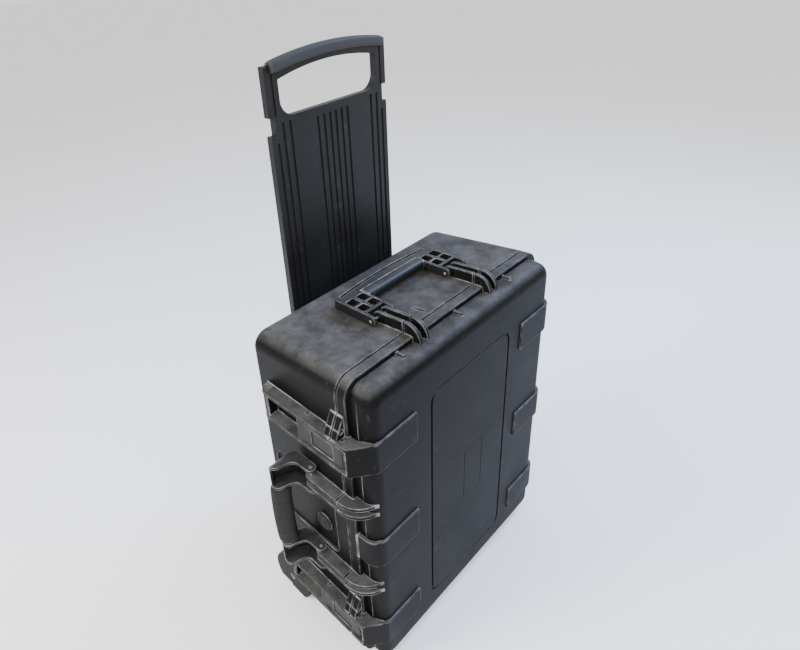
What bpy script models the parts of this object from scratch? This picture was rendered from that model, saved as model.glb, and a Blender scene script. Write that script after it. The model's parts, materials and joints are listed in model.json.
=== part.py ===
"""Wheeled waterproof hard case for a drone: two shells, latches, handles, trolley plate, wheels, foam.

Metres, +Z up. The case stands on its short end. Inside this script the lid's face lies near y = 0, the
trolley plate is at the back (+Y), the latches are on the left (-X) and the hinges on the right (+X).
The empty "case_frame" then moves the whole case so that the middle of its footprint is the origin.
"""

import math

import bmesh
import bpy
from mathutils import Euler, Matrix, Vector

# Driving dimensions of the shells
GAP = 0.0003
HALF_WIDTH = 0.250
TOP_Z = 0.633
UNDER_Z = 0.006
PARTING_Y = 0.055
BACK_Y = 0.253
LID_INSET = 0.005
SIDE_RADIUS = 0.028
LID_ROUND = 0.022
PAD_PROUD = 0.0035
BASE_END = ((-0.246, 0.0080), (0.246, 0.6205))
BASE_INSIDE_END = ((-0.236, 0.0135), (0.241, 0.6145))
LID_END = ((-0.2413, 0.0156), (0.2413, 0.6234))
LID_INSIDE_END = ((-0.2363, 0.0206), (0.2363, 0.6184))
MIDDLE_Z = (TOP_Z + UNDER_Z) / 2

# Latch stations: the shelves above and below each latch stand out from the left wall
SHELF_X = -0.270
SHELF_THICK = 0.005
SHELF_BACK_Y = 0.222
STATION_HALF = 0.0275
STATIONS = {"upper": 0.5135, "lower": 0.1035}
MIDDLE_PAD_Z = 0.3085
LATCH_PIN = (-0.258, 0.040)
CLAW_PIN = (-0.2585, 0.070)
STRIKE_PIN = (-0.2535, 0.118)

# Hinges on the right, opening about one upright axis
HINGE_AXIS = (0.2595, PARTING_Y)
HINGE_Z = {"lower": 0.110, "middle": 0.3135, "upper": 0.515}
KNUCKLE_RADIUS = 0.008

# Carrying handles, drawn in their own frame: u along the pins, v away from them, w out of the wall
TOP_PIVOT = (0.105, 0.6395)
SIDE_PIVOT = (-0.2605, 0.119)
SIDE_HANDLE_Z = 0.313
RIB_ROUND = 0.0095
ARM_U = (0.0695, 0.1195)
ARM_V = (0.0145, 0.078)
ARM_W = (-0.009, 0.0095)
PRONG_THICK = 0.0055
RIBS_U = ((0.0790, 0.0855), (0.0965, 0.1030))
BAR_V = 0.056
BAR_W = 0.0025
BAR_RADIUS = 0.0115
SIDE_BEND = (0.038, 0.004)
SIDE_BAR = (0.0495, 0.0305)
SIDE_BAR_RADIUS = 0.0075
SIDE_CORNER = (0.0935, 0.0370)
SIDE_CORNER_RADIUS = 0.026
SIDE_GRIP_HALF = (0.0195, 0.0125)
RIM_V = 0.089
RIM_THICK = 0.004
RIM_W = (-0.005, 0.0095)

# Trolley plate, shown pulled out, and the rails that guide it
PLATE_HALF = 0.1315
PLATE_FRONT_Y = 0.277
PLATE_BACK_Y = 0.289
PLATE_FOOT_Z = 0.515
PLATE_CORNER_Z = 1.011
ARCH_HALF = 0.1205
ARCH_RISE = 0.011
HOLE_HALF = 0.107
HOLE_FLOOR_Z = 0.932
HOLE_TOP_Z = 0.989
HOLE_ROUND = 0.026
NOTCH_DEPTH = 0.010
NOTCH_HALF = 0.0145
NOTCH_Z = (0.5465, 0.9215)
GROOVES_MIDDLE = (0.0065, 0.0200, 0.0340)
GROOVES_SIDE = (0.0920, 0.1065, 0.1195)
GROOVE_WIDE = 0.005
GROOVE_DEEP = 0.003
GRIP_HALF = 0.120
GRIP_TOP_Z = 1.0165
GRIP_TALL = 0.0175
GRIP_FRONT_Y = 0.267
RAIL_Z = (0.110, 0.575)
RAIL_BACK_Y = 0.295
SCREW_X = 0.1530
SCREW_Z = (0.160, 0.520)

# Wheels in the lower back corners
WHEEL_Y = 0.232
WHEEL_Z = 0.040
WHEEL_RADIUS = 0.040
WHEEL_X = (0.2225, 0.2515)
WELL_Z = 0.042
WELL_RADIUS = 0.0435
HOOD_RADIUS = 0.0495
HOOD_X = (0.212, 0.258)
AXLE_RADIUS = 0.006

VALVE_Y = 0.117
VALVE_Z = 0.296
BAY_FLOOR_X = -0.244

# Points (v, w) round the side handle's grip, an oval that is set aslant as the hand meets it
GRIP_OUTLINE = []
for step in range(20):
    wide = SIDE_GRIP_HALF[0] * math.cos(math.tau * step / 20) * math.sqrt(0.5)
    thick = SIDE_GRIP_HALF[1] * math.sin(math.tau * step / 20) * math.sqrt(0.5)
    GRIP_OUTLINE.append((SIDE_BAR[0] + wide - thick, SIDE_BAR[1] + wide + thick))

# The footprint: the side handle's grip on the left, the hinge knuckles on the right
LEFT_END = SIDE_PIVOT[0] - max(w for v, w in GRIP_OUTLINE)
RIGHT_END = HINGE_AXIS[0] + KNUCKLE_RADIUS
FRAME_SHIFT = Vector((-(LEFT_END + RIGHT_END) / 2, -(RAIL_BACK_Y - PAD_PROUD) / 2, 0))

for old in list(bpy.data.objects):
    bpy.data.objects.remove(old, do_unlink=True)

parts = bpy.data.collections.new("wheeled_drone_case")
cutters = bpy.data.collections.new("cutters")
bpy.context.scene.collection.children.link(parts)
bpy.context.scene.collection.children.link(cutters)
case_frame = bpy.data.objects.new("case_frame", None)
case_frame.location = FRAME_SHIFT
parts.objects.link(case_frame)


# ---------------------------------------------------------------- materials
def material(name, colour, roughness, metallic=0.0):
    made = bpy.data.materials.new(name)
    made.use_nodes = True
    shader = made.node_tree.nodes["Principled BSDF"]
    shader.inputs["Base Color"].default_value = (*colour, 1.0)
    shader.inputs["Roughness"].default_value = roughness
    shader.inputs["Metallic"].default_value = metallic
    return made


SHELL = material("shell_plastic", (0.030, 0.031, 0.034), 0.55)
HANDLE = material("handle_plastic", (0.024, 0.025, 0.028), 0.50)
RUBBER = material("rubber", (0.016, 0.016, 0.017), 0.80)
STEEL = material("steel", (0.62, 0.62, 0.63), 0.30, 1.0)
FOAM = material("foam", (0.045, 0.046, 0.050), 0.95)


# ---------------------------------------------------------------- shapes
def mesh_object(name, bm):
    mesh = bpy.data.meshes.new(name)
    bmesh.ops.recalc_face_normals(bm, faces=bm.faces)
    bm.to_mesh(mesh)
    bm.free()
    return bpy.data.objects.new(name, mesh)


def box(name, low, high):
    bm = bmesh.new()
    size = [b - a for a, b in zip(low, high)]
    middle = [(a + b) / 2 for a, b in zip(low, high)]
    place = Matrix.Translation(middle) @ Matrix.Diagonal((*size, 1))
    bmesh.ops.create_cube(bm, size=1, matrix=place)
    return mesh_object(name, bm)


def rounded_box(name, low, high, axis, radius, segments=3, end_round=0.0, end_face=None, end_high=True):
    """A box whose edges along one axis are rounded; one end can also be drawn in to a face and rounded."""
    bm = bmesh.new()
    size = [b - a for a, b in zip(low, high)]
    middle = Vector([(a + b) / 2 for a, b in zip(low, high)])
    bmesh.ops.create_cube(bm, size=1, matrix=Matrix.Translation(middle) @ Matrix.Diagonal((*size, 1)))
    bm.edges.ensure_lookup_table()
    along = [e for e in bm.edges if abs((e.verts[0].co - e.verts[1].co)[axis]) > size[axis] / 2]
    bmesh.ops.bevel(bm, geom=along, offset=radius, segments=segments, profile=0.5, affect="EDGES")
    end = high[axis] if end_high else low[axis]
    if end_face:
        for vert in [v for v in bm.verts if abs(v.co[axis] - end) < 1e-6]:
            for other, first, last in zip(sorted({0, 1, 2} - {axis}), *end_face):
                part_way = (vert.co[other] - low[other]) / size[other]
                vert.co[other] = first + (last - first) * part_way
    if end_round:
        rim = [e for e in bm.edges if all(abs(v.co[axis] - end) < 1e-6 for v in e.verts)]
        bmesh.ops.bevel(bm, geom=rim, offset=end_round, segments=segments, profile=0.5, affect="EDGES")
    return mesh_object(name, bm)


TURNS = {0: Euler((0, math.pi / 2, 0)), 1: Euler((math.pi / 2, 0, 0)), 2: Euler((0, 0, 0))}


def cylinder(name, radius, centre, axis, low, high, sides=24):
    """A cylinder along an axis; centre gives the other two coordinates in X, Y, Z order."""
    place = list(centre)
    place.insert(axis, (low + high) / 2)
    bm = bmesh.new()
    matrix = Matrix.Translation(place) @ TURNS[axis].to_matrix().to_4x4()
    bmesh.ops.create_cone(bm, cap_ends=True, segments=sides, radius1=radius, radius2=radius,
                          depth=high - low, matrix=matrix)
    made = mesh_object(name, bm)
    made.data.shade_smooth()
    made.data.set_sharp_from_angle(angle=math.radians(40))
    return made


PLANES = {0: Euler((math.pi / 2, 0, math.pi / 2)), 1: Euler((math.pi / 2, 0, 0)), 2: Euler((0, 0, 0))}


def prism(name, outline, axis, low, high):
    """A flat outline given in the two other axes, in X, Y, Z order, filled and made thick along one axis."""
    curve = bpy.data.curves.new(name, "CURVE")
    curve.dimensions = "2D"
    curve.fill_mode = "BOTH"
    curve.extrude = (high - low) / 2
    spline = curve.splines.new("POLY")
    spline.points.add(len(outline) - 1)
    for point, (a, b) in zip(spline.points, outline):
        point.co = (a, b, 0, 1)
    spline.use_cyclic_u = True
    drawn = bpy.data.objects.new(name, curve)
    cutters.objects.link(drawn)
    centre = [0, 0, 0]
    centre[axis] = (low + high) / 2
    drawn.matrix_world = Matrix.Translation(centre) @ PLANES[axis].to_matrix().to_4x4()
    bpy.context.view_layer.update()
    mesh = bpy.data.meshes.new_from_object(drawn.evaluated_get(bpy.context.evaluated_depsgraph_get()))
    bm = bmesh.new()
    bm.from_mesh(mesh)
    bmesh.ops.transform(bm, matrix=drawn.matrix_world, verts=bm.verts)
    bmesh.ops.remove_doubles(bm, verts=bm.verts, dist=1e-6)
    bpy.data.objects.remove(drawn, do_unlink=True)
    bpy.data.meshes.remove(mesh)
    return mesh_object(name, bm)


def arc(centre, radius, start, end, steps):
    """Points on an arc in degrees."""
    points = []
    for step in range(steps + 1):
        angle = math.radians(start + (end - start) * step / steps)
        points.append((centre[0] + radius * math.cos(angle), centre[1] + radius * math.sin(angle)))
    return points


def both_ways(side, low, high):
    """The span from low to high on the right (side 1) or its mirror on the left (side -1)."""
    return sorted((side * low, side * high))


def arch(x, half, foot, rise):
    """The height at x of a shallow arch that stands on foot and rises in the middle."""
    return foot + rise * (1 - (x / half) ** 2)


# ---------------------------------------------------------------- joining and placing
def helper(made):
    """Turns a shape into a hidden cutter or filler."""
    cutters.objects.link(made)
    made.hide_render = True
    made.display_type = "WIRE"
    if made.parent is None:
        made.parent = case_frame
    return made


def combine(target, made, operation):
    helper(made)
    step = target.modifiers.new(made.name, "BOOLEAN")
    step.operation = operation
    step.object = made
    step.solver = "EXACT"


def fuse(target, *shapes):
    for made in shapes:
        combine(target, made, "UNION")


def cut(target, *shapes):
    for made in shapes:
        combine(target, made, "DIFFERENCE")


def part(made, finish, origin=None):
    """Adds a finished shape to the case; origin moves its own origin, such as to a joint's axis."""
    parts.objects.link(made)
    made.data.materials.append(finish)
    if origin is not None:
        made.data.transform(Matrix.Translation(-Vector(origin)))
        made.location = origin
    made.parent = case_frame
    return made


# ---------------------------------------------------------------- handle brackets
TOP_PLACE = Matrix.Translation((0, *TOP_PIVOT))
SIDE_TURN = Matrix(((0, 0, -1, 0), (0, 1, 0, 0), (1, 0, 0, 0), (0, 0, 0, 1)))
SIDE_PLACE = Matrix.Translation((*SIDE_PIVOT, SIDE_HANDLE_Z)) @ SIDE_TURN
TOP_CREST = 0.0125
SIDE_CREST = 0.0095


def base_ribs(name, place, pivot_y, crest):
    """The four ribs that hold one handle's pins, from behind the pins to the parting plane."""
    front = PARTING_Y + GAP / 2 - pivot_y
    outline = [(front, -0.0130), (front, crest)] + arc((0, 0), RIB_ROUND, 90, -60, 6)
    outline.append((0.004, -0.0130))
    made = []
    for side in (-1, 1):
        for index, (near, far) in enumerate(RIBS_U):
            low, high = both_ways(side, near, far)
            rib = prism(f"{name}_rib_{side}_{index}", outline, 0, low, high)
            rib.data.transform(place)
            made.append(rib)
    return made


def lid_ribs(name, place, pivot_y, crest, reach, foot_w, inner):
    """The same four ribs carried on over the lid as quarter rounds; inner is their path in the lid's wall."""
    front = PARTING_Y - GAP / 2 - pivot_y
    start = 0.050 - pivot_y
    outline = [(front, crest)]
    for step in range(8):
        angle = math.pi / 2 * step / 7
        outline.append((start - reach * math.sin(angle), foot_w + (crest - foot_w) * math.cos(angle)))
    outline += inner
    made = []
    for side in (-1, 1):
        for index, (near, far) in enumerate(RIBS_U):
            low, high = both_ways(side, near, far)
            rib = prism(f"{name}_lid_rib_{side}_{index}", outline, 0, low, high)
            rib.data.transform(place)
            made.append(rib)
    return made


def pin_holes(name, place, radius=0.0024):
    made = []
    for side in (-1, 1):
        low, high = both_ways(side, 0.0765, 0.1055)
        hole = cylinder(f"{name}_hole_{side}", radius, (0, 0), 0, low, high, 12)
        hole.data.transform(place)
        made.append(hole)
    return made


# ---------------------------------------------------------------- base shell
def shelf(name, z, lid_side=False):
    wall = -0.244
    if lid_side:
        front = [(-0.145, -PAD_PROUD), (-0.232, -PAD_PROUD), (SHELF_X, 0.024), (SHELF_X, PARTING_Y - GAP / 2)]
        outline = front + [(wall, PARTING_Y - GAP / 2), (wall, 0.024), (-0.232, 0.003), (-0.145, 0.003)]
        return prism(name, outline, 2, z - STATION_HALF, z + STATION_HALF)
    outline = [(wall, PARTING_Y + GAP / 2), (SHELF_X, PARTING_Y + GAP / 2)]
    outline += arc((SHELF_X + 0.022, SHELF_BACK_Y - 0.022), 0.022, 180, 90, 5)
    outline.append((wall, SHELF_BACK_Y))
    return prism(name, outline, 2, z - SHELF_THICK / 2, z + SHELF_THICK / 2)


def padlock_lug(name, z, front, back):
    """A three-cornered lug on the shelf above a latch, with a padlock hole along Y."""
    foot = z + STATION_HALF - 0.002
    outline = [(-0.244, foot), (-0.268, foot), (-0.2655, foot + 0.010)]
    outline += [(-0.251, foot + 0.037), (-0.244, foot + 0.037)]
    lug = prism(name, outline, 1, front, back)
    return lug, cylinder(name + "_hole", 0.004, (-0.2565, foot + 0.0145), 1, front - 0.01, back + 0.01, 12)


def make_base_shell():
    low = (-HALF_WIDTH, PARTING_Y + GAP / 2, UNDER_Z)
    shell = rounded_box("base_shell", low, (HALF_WIDTH, BACK_Y, TOP_Z), 1, SIDE_RADIUS, 4, 0.014, BASE_END)
    part(shell, SHELL)
    cavity = rounded_box("base_cavity", (-0.239, 0.040, 0.012), (0.2445, 0.247, 0.627), 1, 0.022, 3, 0.008,
                         BASE_INSIDE_END)
    cut(shell, cavity)
    for side in (-1, 1):
        inner = both_ways(side, HOOD_X[0], 0.246)
        fuse(shell, box(f"wheel_boss_{side}", (inner[0], 0.1835, 0.018), (inner[1], 0.2510, 0.0920)))
        outer = both_ways(side, *HOOD_X)
        fuse(shell, cylinder(f"wheel_hood_{side}", HOOD_RADIUS, (WHEEL_Y, WELL_Z), 0, outer[0], outer[1], 32))
    for name, z in STATIONS.items():
        fuse(shell, shelf(f"{name}_shelf_above", z + STATION_HALF - SHELF_THICK / 2))
        fuse(shell, shelf(f"{name}_shelf_below", z - STATION_HALF + SHELF_THICK / 2))
        end_wall = [(-0.244, 0.203), (-0.265, 0.203), (-0.262, 0.213), (-0.254, 0.2195), (-0.244, 0.2195)]
        fuse(shell, prism(f"{name}_end_wall", end_wall, 2, z - STATION_HALF + 0.002, z + STATION_HALF - 0.002))
    fuse(shell, *base_ribs("top", TOP_PLACE, TOP_PIVOT[0], TOP_CREST))
    fuse(shell, *base_ribs("side", SIDE_PLACE, SIDE_PIVOT[1], SIDE_CREST))
    for name, z in HINGE_Z.items():
        for end in (-1, 1):
            span = sorted((z + end * 0.0155, z + end * 0.034))
            knuckle = cylinder(f"{name}_knuckle_{end}", KNUCKLE_RADIUS, HINGE_AXIS, 2, *span, 16)
            foot = (0.244, PARTING_Y + GAP / 2, span[0])
            web = box(f"{name}_web_{end}", foot, (HINGE_AXIS[0], 0.0625, span[1]))
            fuse(shell, knuckle, web)
    holes = []
    for name, z in STATIONS.items():
        lug, hole = padlock_lug(f"{name}_base_lug", z, PARTING_Y + GAP / 2, 0.068)
        fuse(shell, lug)
        holes.append(hole)
        span = (z - STATION_HALF - 0.003, z + STATION_HALF + 0.003)
        holes.append(cylinder(f"{name}_strike_hole", 0.0029, STRIKE_PIN, 2, *span, 12))
    for side in (-1, 1):
        well = both_ways(side, 0.218, 0.2545)
        holes.append(cylinder(f"wheel_well_{side}", WELL_RADIUS, (WHEEL_Y, WELL_Z), 0, well[0], well[1], 32))
        below = both_ways(side, 0.200, 0.290)
        holes.append(box(f"hood_trim_{side}", (below[0], 0.2385, -0.030), (below[1], 0.320, 0.012)))
        holes.append(box(f"hood_under_{side}", (below[0], 0.150, -0.030), (below[1], 0.2400, UNDER_Z)))
        bore = both_ways(side, 0.205, 0.2566)
        holes.append(cylinder(f"axle_hole_{side}", AXLE_RADIUS + GAP, (WHEEL_Y, WHEEL_Z), 0, *bore, 16))
        for level, z in enumerate(SCREW_Z):
            holes.append(cylinder(f"wall_hole_{side}_{level}", 0.0023, (side * SCREW_X, z), 1, 0.240, 0.260, 8))
    for name, z in HINGE_Z.items():
        holes.append(cylinder(f"{name}_base_bore", 0.0034, HINGE_AXIS, 2, z - 0.040, z + 0.040, 12))
    bay = rounded_box("handle_bay", (-0.280, 0.085, 0.242), (BAY_FLOOR_X, 0.229, 0.386), 0, 0.016, 3)
    holes += [bay, cylinder("valve_hole", 0.0090, (VALVE_Y, VALVE_Z), 0, -0.260, -0.230, 16)]
    cut(shell, *holes)
    cut(shell, *pin_holes("top", TOP_PLACE))
    cut(shell, *pin_holes("side", SIDE_PLACE))


# ---------------------------------------------------------------- lid shell
def corner_pad(name, side, reach, z):
    """A raised band from the lid's face round its side edge."""
    wall = HALF_WIDTH - LID_INSET
    centre = (wall - LID_ROUND, LID_ROUND)
    outer = arc(centre, LID_ROUND + PAD_PROUD, -90, 0, 6)
    inner = arc(centre, LID_ROUND - 0.003, 0, -90, 4)
    outline = [(reach, -PAD_PROUD)] + outer + [(wall + PAD_PROUD, 0.040), (wall - 0.003, 0.040)]
    outline += inner + [(reach, 0.003)]
    return prism(name, [(side * x, y) for x, y in outline], 2, z - STATION_HALF, z + STATION_HALF)


def make_lid_shell():
    half = HALF_WIDTH - LID_INSET
    low = (-half, 0, UNDER_Z + LID_INSET)
    shell = rounded_box("lid_shell", low, (half, PARTING_Y - 0.002, TOP_Z - LID_INSET), 1, 0.026, 4,
                        LID_ROUND, LID_END, end_high=False)
    part(shell, SHELL, (*HINGE_AXIS, MIDDLE_Z))
    rim_low = (-HALF_WIDTH, 0.037, UNDER_Z)
    rim_high = (HALF_WIDTH, PARTING_Y - GAP / 2, TOP_Z)
    fuse(shell, rounded_box("lid_rim", rim_low, rim_high, 1, SIDE_RADIUS, 4))
    cut(shell, rounded_box("lid_cavity", (-0.239, 0.0055, 0.017), (0.239, 0.070, 0.622), 1, 0.021, 3, 0.018,
                           LID_INSIDE_END, end_high=False))
    groove = rounded_box("panel_groove", (-0.1095, -0.010, 0.0685), (0.1095, 0.0020, 0.5495), 1, 0.022, 4)
    cut(groove, rounded_box("panel_middle", (-0.1045, -0.020, 0.0735), (0.1045, 0.0100, 0.5445), 1, 0.017, 4))
    cut(shell, groove)
    for name, z in STATIONS.items():
        fuse(shell, shelf(f"{name}_lid_pad", z, lid_side=True))
        fuse(shell, corner_pad(f"{name}_right_pad", 1, 0.145, z))
    for side in (-1, 1):
        fuse(shell, corner_pad(f"middle_pad_{side}", side, 0.145, MIDDLE_PAD_Z))
    wall_path = [(0.024 - TOP_PIVOT[0], -0.0165), (PARTING_Y - GAP / 2 - TOP_PIVOT[0], -0.0165)]
    fuse(shell, *lid_ribs("top", TOP_PLACE, TOP_PIVOT[0], TOP_CREST, 0.027, -0.0145, wall_path))
    middle = (0.022, half - LID_ROUND)
    corner = [(y - SIDE_PIVOT[1], x + SIDE_PIVOT[0]) for y, x in arc(middle, 0.0185, 180, 90, 4)]
    corner.append((PARTING_Y - GAP / 2 - SIDE_PIVOT[1], middle[1] + 0.0185 + SIDE_PIVOT[0]))
    fuse(shell, *lid_ribs("side", SIDE_PLACE, SIDE_PIVOT[1], SIDE_CREST, 0.047, -0.041, corner))
    for index, x in enumerate((-0.140, 0, 0.140)):
        fuse(shell, box(f"cross_rib_{index}", (x - 0.003, 0.024, 0.624), (x + 0.003, 0.040, 0.6315)))
    for name, z in HINGE_Z.items():
        span = (z - 0.015, z + 0.015)
        fuse(shell, cylinder(f"{name}_lid_knuckle", KNUCKLE_RADIUS, HINGE_AXIS, 2, *span, 16))
        end = (HINGE_AXIS[0], PARTING_Y - GAP / 2, span[1])
        fuse(shell, box(f"{name}_lid_web", (0.244, 0.0475, span[0]), end))
    holes = []
    for name, z in STATIONS.items():
        lug, hole = padlock_lug(f"{name}_lid_lug", z, 0.042, PARTING_Y - GAP / 2)
        fuse(shell, lug)
        holes.append(hole)
        inside = STATION_HALF - SHELF_THICK
        holes.append(box(f"{name}_pocket", (-0.280, 0.0255, z - inside), (-0.248, 0.070, z + inside)))
        span = (z - STATION_HALF - 0.003, z + STATION_HALF + 0.003)
        holes.append(cylinder(f"{name}_latch_hole", 0.0029, LATCH_PIN, 2, *span, 12))
        holes.append(cylinder(f"{name}_lid_bore", 0.0034, HINGE_AXIS, 2, HINGE_Z[name] - 0.020,
                              HINGE_Z[name] + 0.020, 12))
    holes.append(cylinder("middle_lid_bore", 0.0034, HINGE_AXIS, 2, HINGE_Z["middle"] - 0.020,
                          HINGE_Z["middle"] + 0.020, 12))
    cut(shell, *holes)
    cut(shell, ring("gasket_groove", 0.2470, 0.2420, 0.0515, 0.0700))


def ring(name, outer, inner, low_y, high_y):
    """A flat rounded frame that follows the rim; outer and inner are its half widths."""
    up = TOP_Z - MIDDLE_Z - HALF_WIDTH
    frame = rounded_box(name, (-outer, low_y, MIDDLE_Z - outer - up), (outer, high_y, MIDDLE_Z + outer + up),
                        1, SIDE_RADIUS - HALF_WIDTH + outer, 4)
    cut(frame, rounded_box(name + "_inside", (-inner, low_y - 0.01, MIDDLE_Z - inner - up),
                           (inner, high_y + 0.01, MIDDLE_Z + inner + up), 1, SIDE_RADIUS - HALF_WIDTH + inner, 4))
    return frame


# ---------------------------------------------------------------- latches
def make_latch(name, z):
    """Lever on the lid's pin, with a claw inside it that closes over the base's strike pin."""
    lever = box(f"latch_lever_{name}", (-0.2698, 0.034, z - 0.0215), (-0.2665, 0.128, z + 0.0215))
    part(lever, HANDLE, (*LATCH_PIN, z))
    for end in (-1, 1):
        span = sorted((z + end * 0.0180, z + end * 0.0215))
        cheek = [(-0.2670, 0.0345), (-0.2540, 0.0365), (-0.2540, 0.0800), (-0.2670, 0.1000)]
        fuse(lever, prism(f"{name}_cheek_{end}", cheek, 2, *span))
    fuse(lever, cylinder(f"{name}_lever_knuckle", 0.0052, LATCH_PIN, 2, z - 0.019, z + 0.019, 16))
    fuse(lever, box(f"{name}_lever_neck", (-0.2670, 0.0360, z - 0.019), (-0.2590, 0.0440, z + 0.019)))
    cut(lever, cylinder(f"{name}_lever_bore", 0.0029, LATCH_PIN, 2, z - 0.03, z + 0.03, 12))
    cut(lever, cylinder(f"{name}_claw_bore", 0.0017, CLAW_PIN, 2, z - 0.03, z + 0.03, 12))
    lift = [(-0.2700, 0.120), (-0.2640, 0.120), (-0.2640, 0.128), (-0.2700, 0.128)]
    fuse(lever, prism(f"{name}_lift_lip", lift, 2, z - 0.0215, z + 0.0215))
    claw = box(f"latch_claw_{name}", (-0.2595, CLAW_PIN[1], z - 0.0135), (-0.2570, 0.124, z + 0.0135))
    part(claw, STEEL, (*CLAW_PIN, z))
    fuse(claw, cylinder(f"{name}_claw_knuckle", 0.0034, CLAW_PIN, 2, z - 0.0135, z + 0.0135, 12))
    cut(claw, cylinder(f"{name}_claw_hole", 0.0017, CLAW_PIN, 2, z - 0.03, z + 0.03, 12))
    span = (z - STATION_HALF - 0.001, z + STATION_HALF + 0.001)
    part(cylinder(f"latch_pin_{name}", 0.0025, LATCH_PIN, 2, *span, 12), STEEL)
    part(cylinder(f"strike_pin_{name}", 0.0025, STRIKE_PIN, 2, *span, 12), STEEL)
    part(cylinder(f"claw_pin_{name}", 0.0014, CLAW_PIN, 2, z - 0.0213, z + 0.0213, 12), STEEL)


# ---------------------------------------------------------------- carrying handles
def pin_bores(name):
    """The holes for the pins at both ends of a handle."""
    made = []
    for side in (-1, 1):
        low, high = both_ways(side, 0.060, 0.130)
        made.append(cylinder(f"{name}_bore_{side}", 0.0024, (0, 0), 0, low, high, 12))
    return made


def finish_handle(handle, place, shapes, pockets):
    """Joins and cuts a handle that is drawn in its own frame, and places it on its pins."""
    for made in shapes + pockets:
        made.parent = handle
    fuse(handle, *shapes)
    cut(handle, *pockets)
    part(handle, HANDLE)
    handle.matrix_local = place


def make_top_handle():
    """Two wide straight arms with ladder pockets and forked ends, a round bar and a thin bowed rim."""
    name = "top_handle"
    handle = cylinder(name, BAR_RADIUS, (BAR_V, BAR_W), 0, -0.075, 0.075, 16)
    steps = [ARM_U[1] * (1 - step / 4) for step in range(9)]
    outer = [(u, arch(u, ARM_U[1], ARM_V[1], RIM_V - ARM_V[1])) for u in steps]
    inner = [(u * 0.97, v - RIM_THICK) for u, v in reversed(outer)]
    shapes = [prism(f"{name}_rim", outer + inner, 2, *RIM_W)]
    pockets = pin_bores(name)
    prong = [(0.018, ARM_W[0]), (0.018, ARM_W[1])] + arc((0, 0), -ARM_W[0], 90, 270, 8)
    for side in (-1, 1):
        low, high = both_ways(side, *ARM_U)
        shapes.append(box(f"{name}_arm_{side}", (low, ARM_V[0], ARM_W[0]), (high, ARM_V[1], ARM_W[1])))
        for start in (ARM_U[0], ARM_U[1] - PRONG_THICK):
            low, high = both_ways(side, start, start + PRONG_THICK)
            shapes.append(prism(f"{name}_prong_{side}_{start:.3f}", prong, 0, low, high))
        for near, far in ((0.0735, 0.0920), (0.0970, 0.1155)):
            for front, back in ((0.020, 0.043), (0.048, 0.071)):
                low, high = both_ways(side, near, far)
                pocket = box(f"{name}_pocket_{low:.3f}_{front:.3f}", (low, front, -0.003), (high, back, 0.020))
                pockets.append(pocket)
    finish_handle(handle, TOP_PLACE, shapes, pockets)
    handle_pins(name, ("left", "right"), TOP_PLACE)


def round_corner(arm, side, radius):
    """Cuts away what lies outside the rounded outer corner of one of the side handle's arms."""
    u, v = SIDE_CORNER
    outline = [(u + 0.040, v)] + arc(SIDE_CORNER, radius, 0, 90, 8) + [(u, v + 0.040), (u + 0.040, v + 0.040)]
    outline = [(side * across, along) for across, along in outline]
    corner = prism(arm.name + "_corner", outline, 2, -0.030, 0.070)
    corner.parent = arm
    cut(arm, corner)


def make_side_handle():
    """Two cranked arms that run along the wall and then out from it, with a bar and an oval rubber grip."""
    name = "side_handle"
    handle = cylinder(name, SIDE_BAR_RADIUS, SIDE_BAR, 0, -0.075, 0.075, 16)
    outline = arc((0, 0), -ARM_W[0], 90, 270, 8) + arc(SIDE_BEND, 0.013, -90, -20, 4)
    outline += arc(SIDE_BAR, 0.0135, -20, 150, 8) + [(0.030, 0.013), (0.024, 0.009)]
    hollow = [(-0.020, -0.020), (ARM_V[0], -0.020), (ARM_V[0], -0.0046)] + arc(SIDE_BEND, 0.0085, -90, -20, 4)
    hollow += arc(SIDE_BAR, 0.0088, -20, 70, 4) + [(0.052, 0.060), (-0.020, 0.060)]
    shapes = []
    pockets = pin_bores(name)
    for side in (-1, 1):
        low, high = both_ways(side, *ARM_U)
        arm = prism(f"{name}_arm_{side}", outline, 0, low, high)
        round_corner(arm, side, SIDE_CORNER_RADIUS)
        low, high = both_ways(side, ARM_U[0] + PRONG_THICK, ARM_U[1] - PRONG_THICK)
        pocket = prism(f"{name}_pocket_{side}", hollow, 0, low, high)
        round_corner(pocket, side, SIDE_CORNER_RADIUS - PRONG_THICK)
        shapes.append(arm)
        pockets.append(pocket)
    finish_handle(handle, SIDE_PLACE, shapes, pockets)
    grip = prism("side_handle_grip", GRIP_OUTLINE, 0, -0.066, 0.066)
    part(grip, RUBBER)
    grip.matrix_local = SIDE_PLACE
    bore = cylinder("grip_bore", SIDE_BAR_RADIUS + GAP, SIDE_BAR, 0, -0.070, 0.070, 16)
    bore.parent = grip
    cut(grip, bore)
    handle_pins(name, ("lower", "upper"), SIDE_PLACE)


def handle_pins(name, labels, place):
    for side, label in zip((-1, 1), labels):
        low, high = both_ways(side, ARM_U[0] - 0.0008, ARM_U[1] + 0.0008)
        pin = cylinder(f"{name}_pin_{label}", 0.0020, (0, 0), 0, low, high, 12)
        pin.data.transform(place)
        part(pin, STEEL)


# ---------------------------------------------------------------- trolley plate
def plate_outline():
    edge = [(PLATE_HALF, PLATE_FOOT_Z), (PLATE_HALF, PLATE_CORNER_Z), (ARCH_HALF, PLATE_CORNER_Z)]
    curve = []
    for step in range(13):
        x = ARCH_HALF * (1 - step / 6)
        curve.append((x, arch(x, ARCH_HALF, PLATE_CORNER_Z + 0.0005, ARCH_RISE)))
    return edge + curve + [(-x, z) for x, z in reversed(edge)]


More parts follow.
